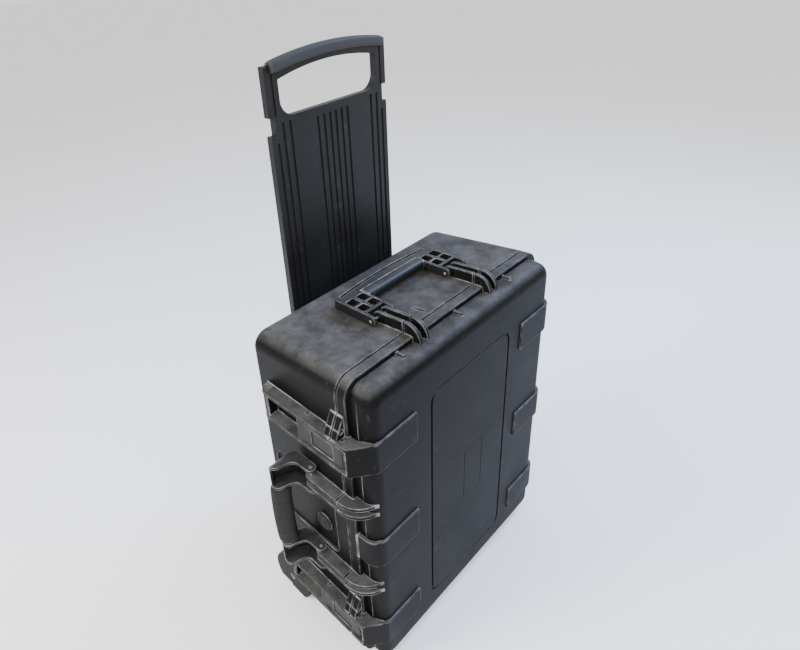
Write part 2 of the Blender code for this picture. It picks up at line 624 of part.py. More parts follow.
def hand_hole():
    middle = (HOLE_HALF - HOLE_ROUND, HOLE_FLOOR_Z + HOLE_ROUND)
    outline = arc(middle, HOLE_ROUND, -90, 0, 4)
    for step in range(9):
        x = HOLE_HALF * (1 - step / 4)
        outline.append((x, arch(x, HOLE_HALF, HOLE_TOP_Z, 0.0125)))
    return outline + arc((-middle[0], middle[1]), HOLE_ROUND, 180, 270, 4)


def make_trolley():
    plate = prism("trolley_handle", plate_outline(), 1, PLATE_FRONT_Y, PLATE_BACK_Y)
    part(plate, HANDLE)
    cut(plate, prism("hand_hole", hand_hole(), 1, PLATE_FRONT_Y - 0.01, PLATE_BACK_Y + 0.01))
    for side in (-1, 1):
        for z in NOTCH_Z:
            notch = both_ways(side, PLATE_HALF - NOTCH_DEPTH, PLATE_HALF + 0.01)
            low = (notch[0], PLATE_FRONT_Y - 0.01, z - NOTCH_HALF)
            cut(plate, box(f"notch_{side}_{z:.3f}", low, (notch[1], PLATE_BACK_Y + 0.01, z + NOTCH_HALF)))
        for group, top in ((GROOVES_MIDDLE, 0.918), (GROOVES_SIDE, 0.925)):
            for x in group:
                stop = top if x < PLATE_HALF - 0.020 else NOTCH_Z[1] - NOTCH_HALF - 0.012
                low = (side * x - GROOVE_WIDE / 2, PLATE_FRONT_Y - 0.01, PLATE_FOOT_Z + 0.012)
                high = (side * x + GROOVE_WIDE / 2, PLATE_FRONT_Y + GROOVE_DEEP, stop)
                cut(plate, box(f"groove_{side}_{x:.3f}", low, high))
    steps = [GRIP_HALF * (1 - step / 6) for step in range(13)]
    top = [(x, arch(x, GRIP_HALF, GRIP_TOP_Z, ARCH_RISE)) for x in steps]
    under = [(x, z - GRIP_TALL) for x, z in reversed(top)]
    grip = part(prism("trolley_grip", top + under, 1, GRIP_FRONT_Y, PLATE_BACK_Y), RUBBER)
    seat = [(0.130, 0.980)] + [(x * 0.130 / GRIP_HALF, z - 0.0050) for x, z in top] + [(-0.130, 0.980)]
    cut(grip, prism("grip_seat", seat, 1, PLATE_FRONT_Y - GAP, PLATE_BACK_Y + 0.010))
    for side, label in ((-1, "left"), (1, "right")):
        make_rail(side, label)


def make_rail(side, label):
    """A channel that guides one edge of the plate, its screws and its slide lock."""
    foot_y = BACK_Y + GAP
    lip, bed, stem, wall, foot = (PLATE_HALF + step for step in (-0.012, 0.0013, 0.006, 0.014, 0.029))
    front, back = PLATE_FRONT_Y - 0.0007, PLATE_BACK_Y + 0.0007
    profile = [(lip, foot_y), (foot, foot_y), (foot, foot_y + 0.005), (wall, foot_y + 0.005),
               (wall, RAIL_BACK_Y), (lip, RAIL_BACK_Y), (lip, back), (bed, back), (bed, front), (lip, front),
               (lip, front - 0.006), (stem, front - 0.006), (stem, foot_y + 0.005), (lip, foot_y + 0.005)]
    rail = part(prism(f"trolley_rail_{label}", [(side * x, y) for x, y in profile], 2, *RAIL_Z), HANDLE)
    window = both_ways(side, PLATE_HALF, wall + 0.010)
    level = NOTCH_Z[0]
    low = (window[0], 0.2785, level - 0.010)
    cut(rail, box(f"lock_window_{side}", low, (window[1], 0.2875, level + 0.010)))
    for step, z in enumerate(SCREW_Z):
        cut(rail, cylinder(f"foot_hole_{side}_{step}", 0.0023, (side * SCREW_X, z), 1, 0.245, 0.265, 8))
        number = step + 1
        screw = cylinder(f"rail_screw_{label}_{number}", 0.0045, (side * SCREW_X, z), 1, 0.2586, 0.2616, 12)
        shank = cylinder(f"shank_{side}_{step}", 0.0018, (side * SCREW_X, z), 1, 0.2480, 0.2600, 8)
        fuse(part(screw, STEEL), shank)
    tongue = both_ways(side, PLATE_HALF + 0.0006, wall + 0.012)
    head = both_ways(side, wall + 0.0105, wall + 0.0175)
    lock = box(f"trolley_lock_{label}", (tongue[0], 0.2792, level - 0.009), (tongue[1], 0.2868, level + 0.009))
    part(lock, HANDLE)
    fuse(lock, box(f"lock_head_{side}", (head[0], 0.2740, level - 0.018), (head[1], 0.2920, level + 0.018)))


# ---------------------------------------------------------------- wheels and feet
def turned_ring(name, inner, outer, side, low, high, sides):
    span = both_ways(side, low, high)
    made = cylinder(name, outer, (WHEEL_Y, WHEEL_Z), 0, span[0], span[1], sides)
    bore = cylinder(name + "_bore", inner, (WHEEL_Y, WHEEL_Z), 0, span[0] - 0.01, span[1] + 0.01,
                    max(16, sides // 2))
    return made, bore


def make_wheel(side, label):
    centre = (side * (WHEEL_X[0] + WHEEL_X[1]) / 2, WHEEL_Y, WHEEL_Z)
    for name, inner, outer, trim, sides, finish in (
            ("tyre", 0.0303, WHEEL_RADIUS, 0.0, 48, RUBBER),
            ("hub", 0.0095, 0.0297, 0.001, 32, HANDLE),
            ("bush", AXLE_RADIUS + GAP, 0.0092, 0.001, 16, STEEL)):
        low, high = WHEEL_X[0] + trim, WHEEL_X[1] - trim
        made, bore = turned_ring(f"wheel_{name}_{label}", inner, outer, side, low, high, sides)
        cut(part(made, finish, centre), bore)
    span = both_ways(side, 0.2123, 0.2562)
    part(cylinder(f"wheel_axle_{label}", AXLE_RADIUS, (WHEEL_Y, WHEEL_Z), 0, span[0], span[1], 16), STEEL)
    foot = both_ways(side, 0.168, 0.212)
    rubber = rounded_box(f"foot_{label}", (foot[0], 0.066, 0), (foot[1], 0.100, UNDER_Z - GAP), 2, 0.006, 3)
    part(rubber, RUBBER)


# ---------------------------------------------------------------- valve and seals
def make_valve():
    place = (VALVE_Y, VALVE_Z)
    body = part(cylinder("valve_body", 0.0170, place, 0, -0.2478, -0.2450, 24), HANDLE)
    fuse(body, cylinder("valve_stem", 0.0085, place, 0, -0.2465, -0.2320, 16))
    part(cylinder("valve_cap", 0.0150, place, 0, -0.2515, -0.2481, 24), RUBBER)
    for name, inner, outer, low, high in (("valve_seal", 0.0100, 0.0130, -0.2447, -0.2443),
                                          ("valve_nut", 0.0088, 0.0150, -0.2365, -0.2325)):
        made = part(cylinder(name, outer, place, 0, low, high, 24 if name == "valve_seal" else 6), RUBBER)
        cut(made, cylinder(name + "_bore", inner, place, 0, low - 0.01, high + 0.01, 16))
    part(ring("lid_gasket", 0.2467, 0.2423, 0.0518, PARTING_Y - 0.0004), RUBBER)


# ---------------------------------------------------------------- foam
FOAM_FRONT_Y = 0.0605
FOAM_BACK_Y = 0.1815
POCKETS = {
    "drone_body": ((-0.075, 0.335), (0.075, 0.600), 0.100),
    "drone_arms_front": ((-0.210, 0.515), (0.212, 0.570), 0.080),
    "drone_arms_rear": ((-0.210, 0.370), (0.212, 0.425), 0.080),
    "controller": ((-0.212, 0.175), (-0.030, 0.315), 0.085),
    "battery_1": ((0.000, 0.190), (0.058, 0.315), 0.080),
    "battery_2": ((0.078, 0.190), (0.136, 0.315), 0.080),
    "battery_3": ((0.156, 0.190), (0.214, 0.315), 0.080),
    "charger": ((-0.212, 0.040), (-0.060, 0.150), 0.080),
    "spares": ((-0.035, 0.040), (0.214, 0.160), 0.060),
}


def make_foam():
    low = (-0.231, FOAM_FRONT_Y, 0.0225)
    foam = part(rounded_box("base_foam", low, (0.236, FOAM_BACK_Y, 0.6165), 1, 0.014, 2), FOAM)
    for name, (corner, opposite, depth) in POCKETS.items():
        start = (corner[0], FOAM_FRONT_Y - 0.02, corner[1])
        end = (opposite[0], FOAM_FRONT_Y + depth, opposite[1])
        cut(foam, rounded_box("pocket_" + name, start, end, 1, 0.008, 2))
    part(rounded_box("base_pad", (-0.228, FOAM_BACK_Y + GAP, 0.096), (0.229, 0.2455, 0.607), 1, 0.014, 2), FOAM)
    part(rounded_box("lid_foam", (-0.230, 0.0085, 0.027), (0.230, 0.0490, 0.612), 1, 0.018, 3, 0.010,
                     end_high=False), FOAM)


# ---------------------------------------------------------------- the case
make_base_shell()
make_lid_shell()
for station, height in STATIONS.items():
    make_latch(station, height)
for place_name, height in HINGE_Z.items():
    part(cylinder(f"hinge_pin_{place_name}", 0.0030, HINGE_AXIS, 2, height - 0.036, height + 0.036, 12), STEEL)
make_top_handle()
make_side_handle()
make_trolley()
make_wheel(-1, "left")
make_wheel(1, "right")
make_valve()
make_foam()
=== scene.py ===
"""Looks of the wheeled drone case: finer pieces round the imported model, procedural materials, light, camera.

Metres. Every piece is drawn in the case's own frame, where x = 0 is its middle and y = 0 the lid's face,
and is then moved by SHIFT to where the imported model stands.
"""

import json
import math

import bmesh
import bpy
from mathutils import Matrix, Vector


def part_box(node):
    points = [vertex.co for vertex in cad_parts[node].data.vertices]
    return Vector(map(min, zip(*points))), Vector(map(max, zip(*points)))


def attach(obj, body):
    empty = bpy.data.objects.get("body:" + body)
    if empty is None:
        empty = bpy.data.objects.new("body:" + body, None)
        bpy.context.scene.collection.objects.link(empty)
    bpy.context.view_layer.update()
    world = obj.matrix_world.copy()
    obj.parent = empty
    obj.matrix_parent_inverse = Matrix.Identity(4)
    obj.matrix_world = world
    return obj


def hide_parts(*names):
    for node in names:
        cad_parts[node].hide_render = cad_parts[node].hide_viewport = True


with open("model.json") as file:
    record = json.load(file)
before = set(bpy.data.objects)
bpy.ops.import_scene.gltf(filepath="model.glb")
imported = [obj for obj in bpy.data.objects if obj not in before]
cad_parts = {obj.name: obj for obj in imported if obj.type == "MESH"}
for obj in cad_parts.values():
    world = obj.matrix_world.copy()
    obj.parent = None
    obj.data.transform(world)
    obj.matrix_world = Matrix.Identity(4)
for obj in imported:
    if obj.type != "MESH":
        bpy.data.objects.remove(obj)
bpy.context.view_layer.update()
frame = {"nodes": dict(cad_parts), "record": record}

PAD_PROUD = 0.0035
plate_low, plate_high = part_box("trolley_handle")
SHIFT = Vector(((plate_low.x + plate_high.x) / 2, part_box("lid_shell")[0].y + PAD_PROUD, 0))

# The shells
GAP = 0.0003
HALF_WIDTH = 0.250
TOP_Z = 0.633
UNDER_Z = 0.006
PARTING_Y = 0.055
PARTING_GAP = 0.0010
BACK_Y = 0.253
LID_HALF = 0.245
SIDE_RADIUS = 0.028
LID_ROUND = 0.022
BASE_END = ((-0.246, 0.0080), (0.246, 0.6205))
BASE_INSIDE_END = ((-0.236, 0.0135), (0.241, 0.6145))
LID_END = ((-0.2413, 0.0156), (0.2413, 0.6234))
LID_INSIDE_END = ((-0.2363, 0.0206), (0.2363, 0.6184))
SHELF_X = -0.270
SHELF_THICK = 0.005
SHELF_BACK_Y = 0.222
STATION_HALF = 0.0275
STATIONS = {"upper": 0.5135, "lower": 0.1035}
MIDDLE_PAD_Z = 0.3085
LATCH_PIN = (-0.258, 0.040)
STRIKE_PIN = (-0.2535, 0.118)
HINGE_AXIS = (0.2595, PARTING_Y)
HINGE_Z = (0.110, 0.3135, 0.515)
HINGE_BORE = 0.0034
KNUCKLE_RADIUS = 0.008
LATCH_BORE = 0.0029
CLAW_PIN = (-0.2585, 0.070)
CLAW_BORE = 0.0017
LEVER_HALF = 0.0215
PAD_REACH = 0.145
LID_INNER_Y = 0.003
PANEL = {"half_x": 0.1095, "half_z": 0.2405, "middle_z": 0.309, "wide": 0.0045}
LABEL = {"half_x": 0.0265, "half_z": 0.0585, "middle_z": 0.303, "wide": 0.0012}
LABEL_SHIFT_X = 0.0105
TAB_X = (-0.140, 0, 0.140)
BAY = ((0.085, 0.242), (0.229, 0.386))
TOP_SLOT = ((-0.0393, 0.068), (-0.0345, 0.089))

# The carrying handles, drawn with u along their pins, v away from the lid and w out of the wall
TOP_PIVOT = (0.105, 0.6395)
SIDE_PIVOT = (-0.2605, 0.119)
SIDE_HANDLE_Z = 0.313
RIBS_U = ((0.0790, 0.0855), (0.0965, 0.1030))
ARM_U = (0.0695, 0.1195)
ARM_W = (-0.0090, 0.0095)
PRONG_THICK = 0.0055
EYE_RADIUS = 0.009
HANDLE_BORE = 0.0024
BAR_V = 0.056
BAR_W = 0.0025
RIM_V = 0.089
RIM_FOOT_V = 0.080
BAR_HALF = 0.0725
POCKETS_U = ((0.0738, 0.0917), (0.0973, 0.1152))
POCKETS_V = ((0.0165, 0.0350), (0.0385, 0.0580))
SIDE_BEND = (0.038, 0.004)
SIDE_BAR = (0.0495, 0.0305)
SIDE_CORNER = (0.0935, 0.0370)
SIDE_CORNER_RADIUS = 0.026
SIDE_WALL = 0.0045
SIDE_GRIP_HALF = 0.066
SIDE_GRIP_LINES = (-0.036, 0.0, 0.036)

# The trolley plate
PLATE_HALF = 0.1315
PLATE_Y = (0.277, 0.289)
PLATE_FOOT_Z = 0.515
PLATE_CORNER_Z = 1.011
ARCH_HALF = 0.1205
ARCH_RISE = 0.011
HOLE_HALF = 0.107
HOLE_FLOOR_Z = 0.932
HOLE_TOP_Z = 0.989
HOLE_CORNER = 0.026
NOTCH_Z = (0.5465, 0.9215)
NOTCH_HALF = 0.0145
NOTCH_DEPTH = 0.010
GROOVES_MIDDLE = (0.0065, 0.0200, 0.0340)
GROOVES_SIDE = (0.0920, 0.1065, 0.1195)
GROOVE_HALF = 0.0025
GROOVE_DEPTH = 0.003
GROOVE_ROUND = 0.0024
HOLE_GROOVE_X = 0.1185
PULL_HALF = 0.120
PULL_Y = 0.278
SEAT_HALF = 0.130

# The wheels and their guards, the valve and the rails' screws
WHEEL_Y = 0.232
WHEEL_Z = 0.040
WHEEL_RADIUS = 0.040
WHEEL_X = (0.2225, 0.2515)
WELL_Z = 0.042
WELL_RADIUS = 0.0435
HOOD_RADIUS = 0.0495
HOOD_X = (0.212, 0.258)
VALVE = (0.117, 0.296)
SCREW_X = 0.1530
SCREW_Z = (0.160, 0.520)

# The foam
FOAM_Y = (0.0605, 0.1815)
POCKETS = (((-0.075, 0.335), (0.075, 0.600), 0.100), ((-0.210, 0.515), (0.212, 0.570), 0.080),
           ((-0.210, 0.370), (0.212, 0.425), 0.080), ((-0.212, 0.175), (-0.030, 0.315), 0.085),
           ((0.000, 0.190), (0.058, 0.315), 0.080), ((0.078, 0.190), (0.136, 0.315), 0.080),
           ((0.156, 0.190), (0.214, 0.315), 0.080), ((-0.212, 0.040), (-0.060, 0.150), 0.080),
           ((-0.035, 0.040), (0.214, 0.160), 0.060))
LID_FOAM = (Vector((-0.230, 0.0085, 0.027)), Vector((0.230, 0.0490, 0.612)))
CRATE_PITCH = 0.046
CRATE_HEIGHT = 0.0100
CRATE_RIM = 0.012
CRATE_CORNER = 0.018
CRATE_BACK_ROUND = 0.016


# ---------------------------------------------------------------- materials
# The pale tone on raised edges: partly rubbed wear, partly a painted highlight
WORN_AND_HIGHLIGHT_TONE = (0.50, 0.50, 0.51)
SCUFF_TONE = (0.20, 0.20, 0.20)
# The pale tone on faces that look up: partly dust, partly painted light from above
DUST_AND_TOP_LIGHT_TONE = (0.20, 0.195, 0.19)
RUBBED_RUBBER = (0.12, 0.12, 0.12)


class Nodes:
    """A material's node tree, with short calls for the nodes that the finishes share."""

    def __init__(self, name):
        self.material = bpy.data.materials.new(name)
        self.material.use_nodes = True
        self.tree = self.material.node_tree
        self.shader = self.tree.nodes["Principled BSDF"]
        self.place = self.tree.nodes.new("ShaderNodeTexCoord").outputs["Object"]

    def add(self, kind, inputs=None, **settings):
        node = self.tree.nodes.new(kind)
        for key, value in settings.items():
            setattr(node, key, value)
        for key, value in (inputs or {}).items():
            self.plug(value, node.inputs[key])
        return node

    def plug(self, value, socket):
        if isinstance(value, bpy.types.NodeSocket):
            self.tree.links.new(value, socket)
        else:
            socket.default_value = value

    def noise(self, scale, detail=3.0, stretch=(1, 1, 1), roughness=0.5):
        mapping = self.add("ShaderNodeMapping", {"Vector": self.place, "Scale": stretch})
        inputs = {"Vector": mapping.outputs["Vector"], "Scale": scale, "Detail": detail, "Roughness": roughness}
        return self.add("ShaderNodeTexNoise", inputs).outputs["Fac"]

    def span(self, value, low, high, start=0.0, end=1.0):
        """Takes value from the range low to high to the range start to end, and keeps it within them."""
        inputs = {"Value": value, "From Min": low, "From Max": high, "To Min": start, "To Max": end}
        return self.add("ShaderNodeMapRange", inputs).outputs["Result"]

    def times(self, a, b):
        return self.add("ShaderNodeMath", {0: a, 1: b}, operation="MULTIPLY").outputs[0]

    def mix(self, factor, a, b):
        node = self.add("ShaderNodeMix", data_type="RGBA")
        self.plug(factor, node.inputs[0])
        self.plug(a if isinstance(a, bpy.types.NodeSocket) else (*a, 1), node.inputs[6])
        self.plug((*b, 1), node.inputs[7])
        return node.outputs[2]

    def soft_normal(self, radius):
        """The surface direction with every edge rounded over radius."""
        return self.add("ShaderNodeBevel", {"Radius": radius}, samples=4).outputs["Normal"]

    def raised_edges(self, width):
        """A mask of the edges that stand out, found by how soon a way inwards meets the next face."""
        settings = {"samples": 6, "inside": True, "only_local": True}
        inside = self.add("ShaderNodeAmbientOcclusion", {"Distance": width}, **settings)
        return self.span(inside.outputs["AO"], 0.92, 0.55)

    def bump(self, height, distance, strength=1.0, normal=None):
        inputs = {"Height": height, "Distance": distance, "Strength": strength}
        if normal is not None:
            inputs["Normal"] = normal
        return self.add("ShaderNodeBump", inputs).outputs["Normal"]

    def upward(self, low, high):
        """A mask of the faces that look up, where dust settles and where light from above is painted."""
        normal = self.add("ShaderNodeNewGeometry").outputs["Normal"]
        parted = self.add("ShaderNodeSeparateXYZ", {0: normal})
        return self.span(parted.outputs["Z"], low, high)


def plastic(name, colour, roughness, grain, shine, dust_and_top_light=0.0, edge=0.0, worn_and_highlight=0.0, calm=None):
    """Moulded plastic: spark-eroded grain, cloudy tone, raised edges paled by rubbing and by a painted highlight, fine
    scuffs, and faces on top paled by dust and by painted light from above.

    calm is a depth along Y and a reach: no edge is rubbed or given a painted highlight that near to it, as in grooves
    that nothing touches.
    """
    nodes = Nodes(name)
    soft = nodes.soft_normal(0.0010)
    cloud = nodes.noise(9.0, 5.0, roughness=0.62)
    shade = nodes.span(cloud, 0.30, 0.72)
    light = [value * 1.7 for value in colour]
    tone = nodes.mix(shade, colour, light)
    # Raised edges are paled: partly rubbed wear, partly a painted highlight along them
    if worn_and_highlight:
        patches = nodes.span(nodes.noise(60.0, 4.0), 0.40, 0.64, 0.25, 1.0)
        wear_and_highlight = nodes.times(nodes.raised_edges(edge), patches)
        if calm:
            depth = nodes.add("ShaderNodeSeparateXYZ", {0: nodes.place}).outputs["Y"]
            within = {0: depth, 1: calm[0], 2: calm[1]}
            sheltered = nodes.add("ShaderNodeMath", within, operation="COMPARE").outputs[0]
            wear_and_highlight = nodes.times(wear_and_highlight, nodes.span(sheltered, 0.0, 1.0, 1.0, 0.0))
        tone = nodes.mix(nodes.times(wear_and_highlight, worn_and_highlight), tone, WORN_AND_HIGHLIGHT_TONE)
    scuff = nodes.span(nodes.noise(34.0, 6.0, (1.0, 5.0, 1.6), 0.72), 0.60, 0.74)
    tone = nodes.mix(nodes.times(scuff, 0.09), tone, SCUFF_TONE)
    # Faces that look up are paled: partly settled dust, partly painted light from above
    if dust_and_top_light:
        speck = nodes.span(nodes.noise(22.0, 8.0, roughness=0.75), 0.38, 0.66, 0.35, 1.0)
        settled_and_lit = nodes.times(nodes.upward(0.55, 0.97), speck)
        tone = nodes.mix(nodes.times(settled_and_lit, dust_and_top_light), tone, DUST_AND_TOP_LIGHT_TONE)
    nodes.plug(tone, nodes.shader.inputs["Base Color"])
    gloss = nodes.span(cloud, 0.25, 0.75, roughness - 0.05, roughness + 0.07)
    nodes.plug(gloss, nodes.shader.inputs["Roughness"])
    pebble = nodes.bump(nodes.noise(1500.0, 2.0), grain, 0.55, soft)
    ripple = nodes.bump(nodes.noise(46.0, 2.0), 0.0002, 0.25, pebble)
    nodes.plug(ripple, nodes.shader.inputs["Normal"])
    nodes.shader.inputs["Specular IOR Level"].default_value = shine
    return nodes.material


def rubber(name, colour, shine=0.15):
    """Soft rubber: matt, finely pitted, slightly paler where it is rubbed."""
    nodes = Nodes(name)
    soft = nodes.soft_normal(0.0008)
    edges = nodes.raised_edges(0.0012)
    cloud = nodes.noise(24.0, 5.0)
    tone = nodes.mix(nodes.span(cloud, 0.35, 0.7), colour, [value * 1.7 for value in colour])
    tone = nodes.mix(nodes.times(edges, 0.12), tone, RUBBED_RUBBER)
    nodes.plug(tone, nodes.shader.inputs["Base Color"])
    nodes.plug(nodes.span(cloud, 0.3, 0.7, 0.62, 0.78), nodes.shader.inputs["Roughness"])
    nodes.plug(nodes.bump(nodes.noise(900.0, 3.0), 0.0002, 0.5, soft), nodes.shader.inputs["Normal"])
    nodes.shader.inputs["Specular IOR Level"].default_value = shine
    return nodes.material


def steel(name, dark, bright, rough):
    """Brushed metal between a dark and a bright grey."""
    nodes = Nodes(name)
    soft = nodes.soft_normal(0.0004)
    brushed = nodes.noise(700.0, 3.0, (1.0, 1.0, 0.08))
    tone = nodes.mix(nodes.span(brushed, 0.3, 0.7), (dark,) * 3, (bright,) * 3)
    nodes.plug(tone, nodes.shader.inputs["Base Color"])
    nodes.plug(nodes.span(brushed, 0.3, 0.7, rough, rough + 0.14), nodes.shader.inputs["Roughness"])
    nodes.plug(nodes.bump(brushed, 0.00005, 0.4, soft), nodes.shader.inputs["Normal"])
    nodes.shader.inputs["Metallic"].default_value = 1.0
    return nodes.material


def foam(name, colour):
    """Open cell foam: small dark pores between lighter cell walls."""
    nodes = Nodes(name)
    cells = nodes.add("ShaderNodeTexVoronoi", {"Vector": nodes.place, "Scale": 520.0}).outputs["Distance"]
    pores = nodes.span(cells, 0.15, 0.65)
    cloud = nodes.span(nodes.noise(30.0, 4.0), 0.3, 0.7)
    tone = nodes.mix(pores, [value * 0.55 for value in colour], [value * 1.5 for value in colour])
    tone = nodes.mix(nodes.times(cloud, 0.3), tone, [value * 1.9 for value in colour])
    nodes.plug(tone, nodes.shader.inputs["Base Color"])
    nodes.plug(nodes.span(cloud, 0.0, 1.0, 0.90, 0.98), nodes.shader.inputs["Roughness"])
    nodes.plug(nodes.bump(cells, 0.0008, 0.8), nodes.shader.inputs["Normal"])
    nodes.shader.inputs["Sheen Weight"].default_value = 0.2
    return nodes.material


# The lid's shallow grooves lie this deep below its face, and their edges get neither the rubbed tone nor the painted
# highlight
LID_GROOVES = (SHIFT.y + 0.0013, 0.0017)
# Both plastics pale their raised edges with rubbed wear and a painted highlight, and their upward faces with dust and
# painted light from above
SHELL = plastic("shell_grain", (0.0034, 0.0034, 0.0034), roughness=0.42, grain=0.00016, shine=0.045,
                dust_and_top_light=0.36, edge=0.0022, worn_and_highlight=0.50, calm=LID_GROOVES)
HANDLE = plastic("handle_grain", (0.0055, 0.0055, 0.0057), roughness=0.38, grain=0.00010, shine=0.14,
                 dust_and_top_light=0.16, edge=0.0012, worn_and_highlight=0.70)
PLATE = plastic("plate_grain", (0.0060, 0.0062, 0.0068), roughness=0.40, grain=0.00008, shine=0.16)
RUBBER = rubber("rubber_grain", (0.0085, 0.0085, 0.0088))
GRIP = rubber("satin_grip", (0.0100, 0.0102, 0.0108), shine=0.40)
STEEL = steel("pin_steel", 0.72, 0.88, 0.30)
DULL_STEEL = steel("dull_pin_steel", 0.10, 0.20, 0.45)
FOAM = foam("cut_foam", (0.040, 0.041, 0.045))


# ---------------------------------------------------------------- shapes
def placed(axis, across, along):
    """A point from its two coordinates across an axis, in X, Y, Z order, and one along it."""
    place = list(across)
    place.insert(axis, along)
    return place


def slab(low, high, axis=1, radius=0.0, segments=8, ends=(0.0, 0.0), end_face=None, end_high=True):
    """A box with its edges along one axis rounded, and each end rounded by its own radius."""
    bm = bmesh.new()
    size = Vector(high) - Vector(low)
    middle = (Vector(high) + Vector(low)) / 2
    bmesh.ops.create_cube(bm, size=1, matrix=Matrix.Translation(middle) @ Matrix.Diagonal((*size, 1)))
    if radius:
        along = [e for e in bm.edges if abs((e.verts[0].co - e.verts[1].co)[axis]) > size[axis] / 2]
        bmesh.ops.bevel(bm, geom=along, offset=radius, segments=segments, profile=0.5, affect="EDGES")
    if end_face:
        end = high[axis] if end_high else low[axis]
        for vert in [v for v in bm.verts if abs(v.co[axis] - end) < 1e-6]:
            for other, first, last in zip(sorted({0, 1, 2} - {axis}), *end_face):
                vert.co[other] = first + (last - first) * (vert.co[other] - low[other]) / size[other]
    for end, rounding in zip((low[axis], high[axis]), ends):
        if rounding:
            rim = [e for e in bm.edges if all(abs(v.co[axis] - end) < 1e-6 for v in e.verts)]
            count = max(2, round(segments * min(1, rounding / max(radius, 1e-6))))
            bmesh.ops.bevel(bm, geom=rim, offset=rounding, segments=count, profile=0.5, affect="EDGES")
    bmesh.ops.recalc_face_normals(bm, faces=bm.faces)
    return bm


def prism(outline, axis, low, high):
    """A flat outline, in the two coordinates across the axis, drawn out from low to high along it."""
    bm = bmesh.new()
    face = bm.faces.new([bm.verts.new(placed(axis, corner, low)) for corner in outline])
    grown = bmesh.ops.extrude_face_region(bm, geom=[face])["geom"]
    step = Vector(placed(axis, (0, 0), high - low))
    bmesh.ops.translate(bm, vec=step, verts=[g for g in grown if isinstance(g, bmesh.types.BMVert)])
    bmesh.ops.recalc_face_normals(bm, faces=bm.faces)
    return bm


def rod(radius, centre, axis, low, high, sides=40):
    return prism(arc(centre, radius, 0, 360, sides)[:-1], axis, low, high)


def arc(centre, radius, start, end, steps):
    points = []
    for step in range(steps + 1):
        angle = math.radians(start + (end - start) * step / steps)
        points.append((centre[0] + radius * math.cos(angle), centre[1] + radius * math.sin(angle)))
    return points


def arch(x, half, foot, rise):
    """The height at x of a bow that stands rise above its two feet."""
    return foot + rise * (1 - (x / half) ** 2)


def turned(profile, centre, axis, steps=72):
    """A closed profile of (along, out) points, turned about an axis through centre."""
    bm = bmesh.new()
    rings = []
    for step in range(steps):
        angle = math.tau * step / steps
        ring = []
        for along, out in profile:
            across = (centre[0] + out * math.cos(angle), centre[1] + out * math.sin(angle))
            ring.append(bm.verts.new(placed(axis, across, along)))
        rings.append(ring)
    for ring, after in zip(rings, rings[1:] + rings[:1]):
        for index in range(len(profile)):
            follow = (index + 1) % len(profile)
            bm.faces.new((ring[index], ring[follow], after[follow], after[index]))
    bmesh.ops.remove_doubles(bm, verts=bm.verts, dist=1e-6)
    bmesh.ops.recalc_face_normals(bm, faces=bm.faces)
    return bm


def swept(rings):
    """A closed skin over rings of points, with a flat cap on each end."""
    bm = bmesh.new()
    made = [[bm.verts.new(corner) for corner in ring] for ring in rings]
    for ring, after in zip(made, made[1:]):
        for index in range(len(ring)):
            follow = (index + 1) % len(ring)
            bm.faces.new((ring[index], ring[follow], after[follow], after[index]))
    bm.faces.new(made[0])
    bm.faces.new(made[-1])
    bmesh.ops.recalc_face_normals(bm, faces=bm.faces)
    return bm


def oval(half_a, half_b, power, count):
    """Points round an oval; a power over 2 makes it squarer."""
    points = []
    for step in range(count):
        angle = math.tau * step / count
        a, b = math.cos(angle), math.sin(angle)
        points.append((half_a * math.copysign(abs(a) ** (2 / power), a),
                       half_b * math.copysign(abs(b) ** (2 / power), b)))
    return points


def rounded(bm, width, segments=2, angle=32):
    """Rounds the edges that turn by more than angle."""
    sharp = [e for e in bm.edges if len(e.link_faces) == 2 and e.calc_face_angle(0) > math.radians(angle)]
    bmesh.ops.bevel(bm, geom=sharp, offset=width, segments=segments, profile=0.5, affect="EDGES",
                    clamp_overlap=True)
    bmesh.ops.recalc_face_normals(bm, faces=bm.faces)
    return bm


def turned_to(bm, matrix):
    bmesh.ops.transform(bm, matrix=matrix, verts=bm.verts)
    bmesh.ops.recalc_face_normals(bm, faces=bm.faces)
    return bm


def as_object(bm, name):
    """Hands the mesh over to a new object and frees it."""
    mesh = bpy.data.meshes.new(name)
    bm.to_mesh(mesh)
    bm.free()
    made = bpy.data.objects.new(name, mesh)
    bpy.context.scene.collection.objects.link(made)
    return made


def carved(target, *steps):
    """target after Boolean steps, each an operation and the shapes it uses."""
    body = as_object(target, "carving")
    tools = []
    for operation, shapes in steps:
        for shape in shapes:
            tool = as_object(shape, "tool")
            modifier = body.modifiers.new("step", "BOOLEAN")
            modifier.operation = operation
            modifier.object = tool
            modifier.solver = "EXACT"
            tools.append(tool)
    bpy.context.view_layer.update()
    evaluated = body.evaluated_get(bpy.context.evaluated_depsgraph_get())
    mesh = bpy.data.meshes.new_from_object(evaluated)
    bm = bmesh.new()
    bm.from_mesh(mesh)
    for used in (body, *tools):
        bpy.data.objects.remove(used, do_unlink=True)
    bmesh.ops.remove_doubles(bm, verts=bm.verts, dist=2e-6)
    return bm


